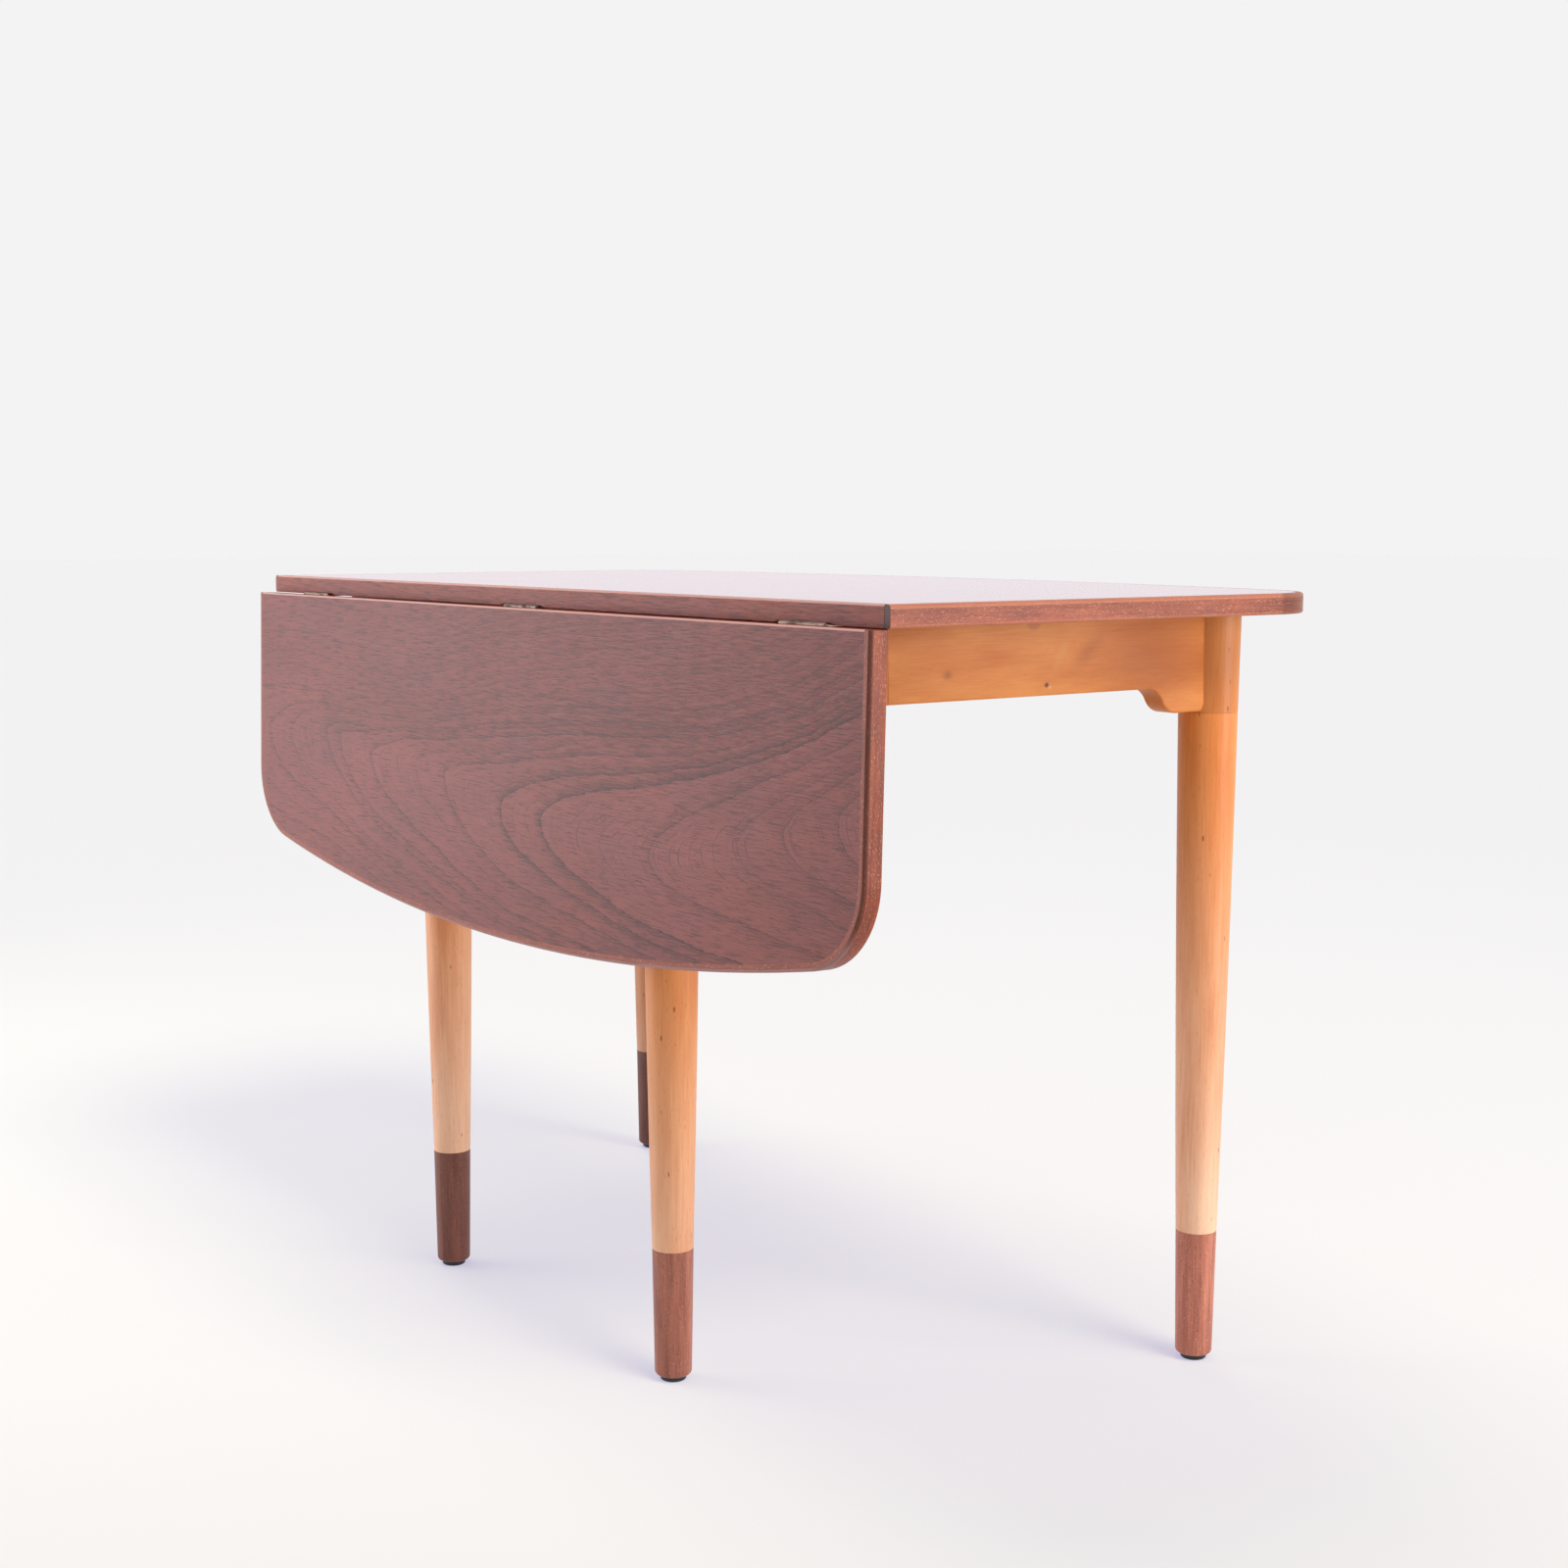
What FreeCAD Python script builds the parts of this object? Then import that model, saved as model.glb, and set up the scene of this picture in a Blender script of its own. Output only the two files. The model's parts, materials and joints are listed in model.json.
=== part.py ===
import FreeCAD, Part
import math
import operator
import os
import types

import Sketcher
from FreeCAD import Placement, Rotation, Vector

# A drop leaf table: a boat-shaped top on four turned legs, with one leaf on butt hinges.
# Two of the legs stand on fly rails that swing on wooden knuckle joints to carry the leaf.
# Axes: +X along the hinge line, the leaf hangs on the -Y side, +Z up.
# Origin: the middle of the footprint, on the floor. All lengths are millimetres.

DRIVING_SIZES = [
    # the top and the leaf
    ("table_length", 1084, "end to end, along the hinge line"),
    ("table_height", 720, "floor to the face of the top"),
    ("board_thickness", 18.5, "top and leaf"),
    ("top_depth", 569.5, "hinge edge to the middle of the far edge"),
    ("leaf_depth", 316.5, "hinge edge to the middle of the leaf's free edge"),
    ("bow_radius", 2560, "slow curve of the long free edges"),
    ("corner_radius", 79, "rounded outer corners"),
    ("lipping_width", 7, "solid wood edging round both boards"),
    ("upper_arris", 3, "rounding of the show edges"),
    ("lower_arris", 2, "rounding of the edges underneath"),
    # the hinge line
    ("joint_gap", 0.8, "between top and raised leaf"),
    ("hinge_drop", 0.4, "hinge pin below the underside"),
    ("hinge_end_distance", 107, "end of the table to the middle of the outer hinge"),
    ("hinge_length", 60, "along the hinge line"),
    ("hinge_plate_reach", 24, "pin to the plate's far edge"),
    ("hinge_plate_thickness", 1.2, "sheet steel"),
    ("hinge_knuckle_radius", 2.4, "rolled knuckle, outside"),
    ("hinge_knuckle_gap", 0.3, "between neighbouring knuckles"),
    ("hinge_pin_radius", 1, "steel pin"),
    ("hinge_pin_fit", 0.05, "running clearance on the radius"),
    ("hinge_notch_clearance", 0.3, "round the knuckles in the lippings"),
    ("hinge_notch_margin", 2, "full notch past each end of the hinge"),
    ("hinge_notch_runout", 12, "tapered end of the notch"),
    # wood screws
    ("screw_radius", 1.6, "shank"),
    ("screw_head_radius", 3.2, "countersunk head"),
    ("screw_length", 12, "in the hinge plates"),
    ("screw_fit", 0.02, "clearance of the pilot holes"),
    ("screw_reach", 14, "hinge pin to the row of screws"),
    ("screw_spacing", 20, "along a hinge plate"),
    ("fixing_screw_bite", 12, "corner block screws into the top"),
    # the legs
    ("end_overhang", 87, "end of the table to the centre of the back leg"),
    ("far_overhang", 118, "middle of the far edge to the centre of the back leg"),
    ("swing_leg_y", 29, "leg centre behind the hinge edge, folded away"),
    ("leg_foot_radius", 16.9, "taper carried down to the floor"),
    ("leg_head_radius", 28.4, "taper carried up to the underside of the top"),
    ("post_length", 91, "underside of the top to the joint between leg and post"),
    ("leg_swell", 0.9, "the long taper bulges by this, halfway up"),
    ("sock_height", 124, "floor to the top of the dark foot"),
    ("sock_edge", 4, "rounding under the foot"),
    ("spigot_radius", 9, "leg tenon in the foot"),
    ("spigot_length", 25, "leg tenon in the foot"),
    ("wood_joint_fit", 0.02, "clearance of turned tenons and studs"),
    ("stud_radius", 4, "steel stud between leg and post"),
    ("stud_reach", 35, "into leg and into post"),
    ("glide_radius", 12, "plastic glide"),
    ("glide_height", 5, "plastic glide"),
    ("glide_edge", 2, "rounding under the glide"),
    ("nail_radius", 1.5, "nail of the glide"),
    ("nail_length", 16, "nail of the glide"),
    ("blind_depth", 1, "drilled past the end of a pin, stud or nail"),
    # the rails
    ("rail_thickness", 22, "all rails"),
    ("rail_depth", 66, "below the top"),
    ("rail_setback", 15, "leg centre to the outer face of the rail"),
    ("rail_arris", 2, "rounding of the rail's lower outer edge"),
    ("bracket_drop", 23, "rail is deeper beside the leg by this"),
    ("bracket_flat", 57, "leg centre to the end of the deep part"),
    ("bracket_curve", 38, "length of the ogee"),
    ("cope_margin", 10, "rail reaches to this before the leg's axis"),
    ("corner_block_leg", 62, "sides of the triangular corner blocks"),
    ("corner_block_height", 38, "corner blocks"),
    # the swinging gates
    ("front_rail_y", 58, "face of the front rail behind the hinge edge"),
    ("knuckle_inset", 46, "outer face of the end rail to the knuckle pin"),
    ("gate_arm", 219, "knuckle pin to the centre of the gate's leg"),
    ("knuckle_y", 46, "knuckle pin behind the hinge edge"),
    ("knuckle_gap", 0.4, "between neighbouring fingers"),
    ("knuckle_relief", 0.3, "round a finger in its slot"),
    ("knuckle_pin_radius", 3, "steel rod"),
    ("knuckle_pin_fit", 0.05, "running clearance on the radius"),
    ("gate_drop", 7, "top of the gates below the underside"),
    ("rest_length", 70, "block under the leaf that a swung leg meets"),
    ("rest_width", 56, "block under the leaf"),
    ("rest_corner", 6, "rounding of the block"),
]
KNUCKLE_FINGERS = 5
HINGE_KNUCKLES = 3
SCREWS_PER_PLATE = (-1, 0, 1)
HINGE_PLACES = {"left": -1, "middle": 0, "right": 1}
SIDES = {"left": -1, "right": 1}
LEAF_LEAN = 1.46  # degrees out of plumb, where the hanging leaf comes to rest
LEAN_SIN = math.sin(math.radians(LEAF_LEAN))
LEAN_COS = math.cos(math.radians(LEAF_LEAN))
LEAF_HANGING = Rotation(Vector(1, 0, 0), -LEAF_LEAN) * Rotation(Vector(0, -1, 1), 180)
OPERATORS = {"+": operator.add, "-": operator.sub, "*": operator.mul, "/": operator.truediv}

doc = FreeCAD.newDocument("drop_leaf_table")


# ---------------------------------------------------------------- sizes and expressions


class Size:
    """A length known twice: as a number, and as the expression that the document keeps."""

    def __init__(self, number, text):
        self.number = number
        self.text = text

    def __add__(self, other):
        return combine(self, "+", other)

    def __sub__(self, other):
        return combine(self, "-", other)

    def __mul__(self, other):
        return combine(self, "*", other)

    def __truediv__(self, other):
        return combine(self, "/", other)

    def __neg__(self):
        return combine(self, "*", -1)


def as_size(value):
    """A plain number becomes a Size that is the same everywhere."""
    return value if isinstance(value, Size) else Size(value, str(value))


def combine(left, sign, right):
    """Two sizes joined by an operator, as a number and as text."""
    left, right = as_size(left), as_size(right)
    number = OPERATORS[sign](left.number, right.number)
    return Size(number, f"({left.text} {sign} {right.text})")


def make_sheet():
    """The spreadsheet of driving sizes, and the same sizes by name."""
    sheet = doc.addObject("Spreadsheet::Sheet", "Sizes")
    sizes = types.SimpleNamespace()
    for row, (alias, value, meaning) in enumerate(DRIVING_SIZES, 1):
        sheet.set(f"A{row}", alias)
        sheet.set(f"B{row}", str(value))
        sheet.set(f"C{row}", meaning)
        sheet.setAlias(f"B{row}", alias)
        setattr(sizes, alias, Size(value, f"Sizes.{alias}"))
    doc.recompute()
    return sizes


def derive(sizes):
    """Places and lengths that follow from the driving sizes."""
    half_gap = sizes.joint_gap / 2
    face = sizes.hinge_drop + sizes.board_thickness - sizes.upper_arris
    tip = half_gap + sizes.leaf_depth - sizes.upper_arris
    near_reach = half_gap + face * LEAN_COS + tip * LEAN_SIN + sizes.upper_arris
    sizes.hinge_line_y = (near_reach - sizes.top_depth) / 2
    sizes.underside = sizes.table_height - sizes.board_thickness
    sizes.hinge_axis_y = sizes.hinge_line_y - half_gap
    sizes.hinge_axis_z = sizes.underside - sizes.hinge_drop
    sizes.rail_bottom = sizes.underside - sizes.rail_depth
    sizes.gate_top = sizes.underside - sizes.gate_drop
    sizes.post_joint = sizes.underside - sizes.post_length
    sizes.hinge_spacing = sizes.table_length / 2 - sizes.hinge_end_distance
    sizes.back_leg_x = sizes.table_length / 2 - sizes.end_overhang
    sizes.back_leg_y = sizes.top_depth - sizes.far_overhang
    sizes.end_rail_x = sizes.back_leg_x + sizes.rail_setback
    sizes.inner_rail_x = sizes.end_rail_x - sizes.rail_thickness
    sizes.inner_rail_y = sizes.back_leg_y + sizes.rail_setback - sizes.rail_thickness
    sizes.knuckle_x = sizes.end_rail_x - sizes.knuckle_inset
    sizes.swing_leg_x = sizes.knuckle_x - sizes.gate_arm


def leg_radius(height):
    """Radius of the straight taper at a height above the floor."""
    spread = S.leg_head_radius - S.leg_foot_radius
    return S.leg_foot_radius + spread * height / S.underside


def bind(item, **places):
    """Bind properties of an object to sizes; Base_x stands for Placement.Base.x."""
    for name, size in places.items():
        path = name.replace("Base_", "Placement.Base.")
        item.setExpression(path, as_size(size).text)
    return item


def put(item, x, y, z, turn=None):
    """Place an object at bound coordinates, turned by a fixed rotation."""
    item.Placement = Placement(Vector(0, 0, 0), turn or Rotation())
    return bind(item, Base_x=x, Base_y=y, Base_z=z)


# ---------------------------------------------------------------- primitives


def name_item(kind, label):
    """A new document object under its label."""
    item = doc.addObject(kind, label)
    item.Label = label
    return item


def box(label, low, high):
    """A block between two corners."""
    block = name_item("Part::Box", label)
    sides = [as_size(b) - as_size(a) for a, b in zip(low, high)]
    bind(block, Length=sides[0], Width=sides[1], Height=sides[2])
    return put(block, *low)


def rod(label, radius, length, start, turn=None):
    """A round rod from its start point, along +Z before any turn."""
    bar = name_item("Part::Cylinder", label)
    bind(bar, Radius=radius, Height=length)
    return put(bar, *start, turn)


def cone(label, low_radius, high_radius, height, start, turn=None):
    """A frustum from its start point, along +Z before any turn."""
    taper = name_item("Part::Cone", label)
    bind(taper, Radius1=low_radius, Radius2=high_radius, Height=height)
    return put(taper, *start, turn)


def fuse(label, shapes):
    """One solid from several."""
    whole = name_item("Part::MultiFuse", label)
    whole.Shapes = shapes
    return whole


def cut(label, base, tools):
    """The base less every tool."""
    result = name_item("Part::Cut", label)
    result.Base = base
    result.Tool = tools[0] if len(tools) == 1 else fuse(f"{label}_tools", tools)
    return result


def group(label, shapes):
    """Separate solids that share one node."""
    together = name_item("Part::Compound", label)
    together.Links = shapes
    return together


# ---------------------------------------------------------------- sketches and features


def new_body(label):
    """An empty body under its label."""
    return name_item("PartDesign::Body", label)


def new_sketch(body, plane, name, lift=None):
    """A sketch on one of the body's own origin planes, lifted along its normal."""
    sketch = body.newObject("Sketcher::SketchObject", f"{body.Name}_{name}")
    origin_plane = next(f for f in body.Origin.OriginFeatures if f.Role == plane)
    sketch.AttachmentSupport = [(origin_plane, "")]
    sketch.MapMode = "FlatFace"
    if lift is not None:
        sketch.setExpression("AttachmentOffset.Base.z", lift.text)
    return sketch


def dimension(sketch, name, size, kind, *where):
    """A named dimension bound to a size."""
    index = sketch.addConstraint(Sketcher.Constraint(kind, *where, size.number))
    sketch.renameConstraint(index, name)
    sketch.setExpression(f"Constraints.{name}", size.text)


def pin_point(sketch, name, point, x, y):
    """Hold a point at (x, y) from the sketch's origin."""
    for letter, kind, size, axis in (("x", "DistanceX", x, -2), ("y", "DistanceY", y, -1)):
        size = as_size(size)
        if size.number == 0:
            sketch.addConstraint(Sketcher.Constraint("PointOnObject", *point, axis))
        elif size.number > 0:
            dimension(sketch, f"{name}_{letter}", size, kind, -1, 1, *point)
        else:
            dimension(sketch, f"{name}_{letter}", -size, kind, *point, -1, 1)


def arc_between(start, end, radius, side):
    """The shorter arc from start to end; side is 1 for a centre on the left of the way."""
    chord = end - start
    reach = math.sqrt(radius**2 - (chord.Length / 2) ** 2)
    left = Vector(-chord.y, chord.x, 0).normalize()
    centre = (start + end) / 2 + left * reach * side
    first, last = (start, end) if side > 0 else (end, start)
    angles = [math.atan2(p.y - centre.y, p.x - centre.x) for p in (first, last)]
    circle = Part.Circle(centre, Vector(0, 0, 1), radius)
    return Part.ArcOfCircle(circle, *angles)


def draw_profile(sketch, corners, arcs=None):
    """A closed profile through corners; arcs gives some sides a (radius, side)."""
    arcs = arcs or {}
    points = [Vector(as_size(x).number, as_size(y).number, 0) for x, y in corners]
    ends = []
    for n, start in enumerate(points):
        end = points[(n + 1) % len(points)]
        if n in arcs:
            radius, side = arcs[n]
            sketch.addGeometry(arc_between(start, end, radius.number, side), False)
            ends.append((1, 2) if side > 0 else (2, 1))
        else:
            sketch.addGeometry(Part.LineSegment(start, end), False)
            ends.append((1, 2))
    for n in range(len(points)):
        after = (n + 1) % len(points)
        meet = Sketcher.Constraint("Coincident", n, ends[n][1], after, ends[after][0])
        sketch.addConstraint(meet)
    for n, (x, y) in enumerate(corners):
        pin_point(sketch, f"corner{n}", (n, ends[n][0]), x, y)
    for n, (radius, _) in arcs.items():
        dimension(sketch, f"radius{n}", radius, "Radius", n)


def draw_circles(sketch, centres, radius):
    """Equal circles at the given centres."""
    for n, (x, y) in enumerate(centres):
        centre = Vector(as_size(x).number, as_size(y).number, 0)
        sketch.addGeometry(Part.Circle(centre, Vector(0, 0, 1), radius.number), False)
        pin_point(sketch, f"hole{n}", (n, 3), x, y)
        dimension(sketch, f"radius{n}", radius, "Radius", n)


def draw_board_outline(sketch, board_depth, inset, start):
    """Half a boat: straight ends, round corners and one bowed edge, all tangent.

    The curve lies inset from the board's edge, and start is where the hinge side begins.
    """
    half = S.table_length / 2 - inset
    corner = S.corner_radius - inset
    bow = S.bow_radius - inset
    depth = board_depth - inset
    centre_y = depth - bow
    reach = half.number - corner.number
    drop = math.sqrt((bow.number - corner.number) ** 2 - reach**2)
    corner_y = centre_y.number + drop
    turn = math.atan2(drop, reach)
    up = Vector(0, 0, 1)
    low = as_size(start).number
    right, left = half.number, -half.number
    bow_circle = Part.Circle(Vector(0, centre_y.number, 0), up, bow.number)
    right_circle = Part.Circle(Vector(reach, corner_y, 0), up, corner.number)
    left_circle = Part.Circle(Vector(-reach, corner_y, 0), up, corner.number)
    sketch.addGeometry(
        [
            Part.LineSegment(Vector(left, low, 0), Vector(right, low, 0)),
            Part.LineSegment(Vector(right, low, 0), Vector(right, corner_y, 0)),
            Part.ArcOfCircle(right_circle, 0, turn),
            Part.ArcOfCircle(bow_circle, turn, math.pi - turn),
            Part.ArcOfCircle(left_circle, math.pi - turn, math.pi),
            Part.LineSegment(Vector(left, corner_y, 0), Vector(left, low, 0)),
        ],
        False,
    )
    sketch.addConstraint(
        [
            Sketcher.Constraint("Coincident", 0, 2, 1, 1),
            Sketcher.Constraint("Tangent", 1, 2, 2, 1),
            Sketcher.Constraint("Tangent", 2, 2, 3, 1),
            Sketcher.Constraint("Tangent", 3, 2, 4, 1),
            Sketcher.Constraint("Tangent", 4, 2, 5, 1),
            Sketcher.Constraint("Coincident", 5, 2, 0, 1),
            Sketcher.Constraint("Symmetric", 0, 1, 0, 2, -2),
            Sketcher.Constraint("Vertical", 1),
            Sketcher.Constraint("Vertical", 5),
            Sketcher.Constraint("Equal", 2, 4),
            Sketcher.Constraint("PointOnObject", 3, 3, -2),
        ]
    )
    pin_point(sketch, "hinge_end", (0, 2), half, start)
    dimension(sketch, "bow", bow, "Radius", 3)
    dimension(sketch, "corner", corner, "Radius", 2)
    dimension(sketch, "bow_centre", -centre_y, "DistanceY", 3, 3, -1, 1)


def pad(body, sketch, length):
    """Material along the sketch's normal."""
    feature = body.newObject("PartDesign::Pad", f"{sketch.Name}_pad")
    feature.Profile = sketch
    feature.setExpression("Length", length.text)
    doc.recompute()
    return feature


def pocket(body, sketch, length):
    """Material away along the sketch's normal, with proof that some went."""
    before = body.Shape.Volume
    feature = body.newObject("PartDesign::Pocket", f"{sketch.Name}_pocket")
    feature.Profile = sketch
    feature.Reversed = True
    feature.setExpression("Length", length.text)
    doc.recompute()
    if body.Shape.Volume >= before:
        raise RuntimeError(f"{feature.Name} cuts nothing")
    return feature


def round_edges(body, name, radius, wanted):
    """Fillet those edges of the body so far that the test picks out."""
    base = body.Tip
    edges = [f"Edge{n}" for n, edge in enumerate(base.Shape.Edges, 1) if wanted(edge)]
    fillet = body.newObject("PartDesign::Fillet", f"{body.Name}_{name}")
    fillet.Base = (base, edges)
    fillet.setExpression("Radius", radius.text)
    doc.recompute()
    return fillet


def turned(label, profile, arcs=None):
    """A lathe-turned piece: a profile of (radius, height) corners round the Z axis."""
    body = new_body(label)
    sketch = new_sketch(body, "XZ_Plane", "profile")
    draw_profile(sketch, profile, arcs)
    feature = body.newObject("PartDesign::Revolution", f"{label}_turning")
    feature.Profile = sketch
    feature.ReferenceAxis = (sketch, ["V_Axis"])
    feature.Angle = 360
    doc.recompute()
    return body


def lies_at(edge, axis, level):
    """Whether every point of an edge has the same coordinate along an axis."""
    return all(abs(getattr(v.Point, axis) - level) < 1e-4 for v in edge.Vertexes)


# ---------------------------------------------------------------- boards and lippings


def on_top(item):
    """Seat a piece, drawn from the hinge edge's underside, on the fixed top."""
    return put(item, 0, S.hinge_line_y, S.underside)


def on_leaf(item):
    """Seat a piece, drawn from the hinge edge's underside, on the hanging leaf."""
    back = S.hinge_axis_y - S.hinge_drop * LEAN_COS - S.joint_gap * (LEAN_SIN / 2)
    edge = S.hinge_axis_z + S.hinge_drop * LEAN_SIN - S.joint_gap * (LEAN_COS / 2)
    return put(item, 0, back, edge, LEAF_HANGING)


def hinge_screw_places():
    """Places of the screws of all three hinges on one board."""
    reach = S.screw_reach - S.joint_gap / 2
    return [
        (S.hinge_spacing * hinge + S.screw_spacing * n, reach)
        for hinge in HINGE_PLACES.values()
        for n in SCREWS_PER_PLATE
    ]


def board_panel(label, depth, extra_holes=()):
    """The veneered panel inside the lippings, drilled for its screws."""
    body = new_body(label)
    outline = new_sketch(body, "XY_Plane", "outline")
    draw_board_outline(outline, depth, S.lipping_width, S.lipping_width)
    pad(body, outline, S.board_thickness)
    holes = new_sketch(body, "XY_Plane", "screw_holes")
    draw_circles(holes, hinge_screw_places() + list(extra_holes), S.screw_radius + S.screw_fit)
    pocket(body, holes, S.screw_length + S.blind_depth)
    return body


def outer_lipping(label, depth):
    """The solid edging along both ends, round the corners and along the bowed edge."""
    body = new_body(label)
    outline = new_sketch(body, "XY_Plane", "outline")
    draw_board_outline(outline, depth, as_size(0), as_size(0))
    pad(body, outline, S.board_thickness)
    thick = S.board_thickness.number

    def free_edge(level):
        return lambda edge: lies_at(edge, "z", level) and not lies_at(edge, "y", 0)

    round_edges(body, "upper_arris", S.upper_arris, free_edge(thick))
    round_edges(body, "lower_arris", S.lower_arris, free_edge(0))
    inside = new_sketch(body, "XY_Plane", "inside")
    draw_board_outline(inside, depth, S.lipping_width, -S.lipping_width)
    pocket(body, inside, S.board_thickness)
    return body


def hinge_lipping(label):
    """The straight edging along the hinge line, notched for the knuckles.

    Each notch is a round groove on the pin's line, which tapers out at both ends.
    """
    half = S.table_length / 2 - S.lipping_width
    strip = box(f"{label}_strip", (-half, 0, 0), (half, S.lipping_width, S.board_thickness))
    radius = S.hinge_knuckle_radius + S.hinge_notch_clearance
    half_notch = S.hinge_length / 2 + S.hinge_notch_margin
    run = S.hinge_notch_runout
    notches = []
    for place, n in HINGE_PLACES.items():
        for way, turn in ((-1, Rotation(Vector(0, 1, 0), -90)), (1, Rotation(Vector(0, 1, 0), 90))):
            middle = (S.hinge_spacing * n, -(S.joint_gap / 2), -S.hinge_drop)
            end = (S.hinge_spacing * n + half_notch * way, middle[1], middle[2])
            name = f"{label}_notch_{place}{way + 1}"
            notches.append(rod(name, radius, half_notch, middle, turn))
            notches.append(cone(f"{name}_taper", radius, S.hinge_drop, run, end, turn))
    return cut(label, strip, notches)


# ---------------------------------------------------------------- hinges


def hinge_plate(label, place, knuckles):
    """One leaf of a butt hinge: a flat plate with its own knuckles on the pin's line."""
    middle = S.hinge_spacing * place
    pitch = S.hinge_length / HINGE_KNUCKLES
    first = middle - S.hinge_length / 2
    axis_y, axis_z = -(S.joint_gap / 2), -S.hinge_drop
    along_x = Rotation(Vector(0, 1, 0), 90)
    clear = S.hinge_knuckle_radius + S.hinge_knuckle_gap
    shapes = [
        box(
            f"{label}_sheet",
            (first, axis_y + clear, -S.hinge_plate_thickness),
            (first + S.hinge_length, axis_y + S.hinge_plate_reach, 0),
        )
    ]
    for n in knuckles:
        low = first + pitch * n + S.hinge_knuckle_gap / 2
        length = pitch - S.hinge_knuckle_gap
        start = (low, axis_y, axis_z)
        shapes.append(rod(f"{label}_knuckle{n}", S.hinge_knuckle_radius, length, start, along_x))
        shapes.append(
            box(
                f"{label}_web{n}",
                (low, axis_y, -S.hinge_plate_thickness),
                (low + length, axis_y + clear, 0),
            )
        )
    bore = rod(
        f"{label}_bore",
        S.hinge_pin_radius + S.hinge_pin_fit,
        S.hinge_length,
        (first, axis_y, axis_z),
        along_x,
    )
    tools = [bore]
    for n in SCREWS_PER_PLATE:
        start = (middle + S.screw_spacing * n, axis_y + S.screw_reach, -S.hinge_plate_thickness)
        tools.append(
            cone(
                f"{label}_sink{n + 2}",
                S.screw_head_radius + S.screw_fit,
                S.screw_radius + S.screw_fit,
                S.hinge_plate_thickness,
                start,
            )
        )
    return cut(label, fuse(f"{label}_blank", shapes), tools)


def hinge_pin(label, place):
    """The steel pin through all knuckles of one hinge."""
    start = (
        S.hinge_spacing * place - S.hinge_length / 2,
        S.hinge_axis_y,
        S.hinge_axis_z,
    )
    return rod(label, S.hinge_pin_radius, S.hinge_length, start, Rotation(Vector(0, 1, 0), 90))


def wood_screw(label, x, y, z, length, head_height):
    """A countersunk screw that stands on its head at (x, y, z)."""
    head = cone(f"{label}_head", S.screw_head_radius, S.screw_radius, head_height, (x, y, z))
    shank = rod(f"{label}_shank", S.screw_radius, length, (x, y, z))
    return fuse(label, [head, shank])


def hinge_screws(label):
    """All hinge screws of one board."""
    base = -S.hinge_plate_thickness
    length = S.screw_length + S.hinge_plate_thickness
    screws = [
        wood_screw(f"{label}{n}", x, y, base, length, S.hinge_plate_thickness)
        for n, (x, y) in enumerate(hinge_screw_places())
    ]
    return group(label, screws)


# ---------------------------------------------------------------- legs


def leg_post(label, top):
    """The upper stub of a leg, which the rails join; a stud hole comes up from below."""
    hole = S.stud_radius + S.wood_joint_fit
    low = S.post_joint
    end = low + S.stud_reach + S.blind_depth
    profile = [
        (hole, low),
        (leg_radius(low), low),
        (leg_radius(top), top),
        (0, top),
        (0, end),
        (hole, end),
    ]
    return turned(label, profile)


def swell_radius(low, high):
    """Radius of a leg's side, an arc that rises by the swell over its chord."""
    run, spread = high - low, leg_radius(high) - leg_radius(low)
    return (run * run + spread * spread) / (S.leg_swell * 8) + S.leg_swell / 2


def turned_leg(label):
    """The long swelling taper, with a spigot below for the foot and a stud hole above."""
    hole = S.stud_radius + S.wood_joint_fit
    low, high = S.sock_height, S.post_joint
    end = high - S.stud_reach - S.blind_depth
    profile = [
        (0, low - S.spigot_length),
        (S.spigot_radius, low - S.spigot_length),
        (S.spigot_radius, low),
        (leg_radius(low), low),
        (leg_radius(high), high),
        (hole, high),
        (hole, end),
        (0, end),
    ]
    return turned(label, profile, arcs={3: (swell_radius(low, high), 1)})


def leg_sock(label):
    """The dark foot, socketed for the leg's spigot and drilled for the glide's nail."""
    nail = S.nail_radius + S.wood_joint_fit
    socket = S.spigot_radius + S.wood_joint_fit
    low, high = S.glide_height, S.sock_height
    nail_end = low + S.nail_length + S.blind_depth
    floor = high - S.spigot_length - S.blind_depth
    profile = [
        (nail, low),
        (leg_radius(low), low),
        (leg_radius(high), high),
        (socket, high),
        (socket, floor),
        (0, floor),
        (0, nail_end),
        (nail, nail_end),
    ]
    body = turned(label, profile)
    rim = leg_radius(low).number

    def under_edge(edge):
        return lies_at(edge, "z", low.number) and edge.BoundBox.XMax > rim - 1e-4

    round_edges(body, "under_edge", S.sock_edge, under_edge)
    return body


def foot_glide(label):
    """A round-edged glide with its nail."""
    edge = S.glide_edge
    profile = [
        (0, 0),
        (S.glide_radius - edge, 0),
        (S.glide_radius, edge),
        (S.glide_radius, S.glide_height),
        (S.nail_radius, S.glide_height),
        (S.nail_radius, S.glide_height + S.nail_length),
        (0, S.glide_height + S.nail_length),
    ]
    return turned(label, profile, arcs={1: (edge, 1)})


def stand(item, x, y):
    """Set a piece that is drawn from the floor up at a leg's place."""
    return put(item, x, S.hinge_line_y + y, 0)


def whole_leg(name, x, y, top):
    """Post, stud, leg, foot and glide at one place."""
    stud = rod(
        f"leg_stud_{name}",
        S.stud_radius,
        S.stud_reach * 2,
        (x, S.hinge_line_y + y, S.post_joint - S.stud_reach),
    )
    pieces = [
        leg_post(f"leg_post_{name}", top),
        turned_leg(f"leg_{name}"),
        leg_sock(f"leg_sock_{name}"),
        foot_glide(f"foot_glide_{name}"),
    ]
    return [stud] + [stand(piece, x, y) for piece in pieces]


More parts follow.
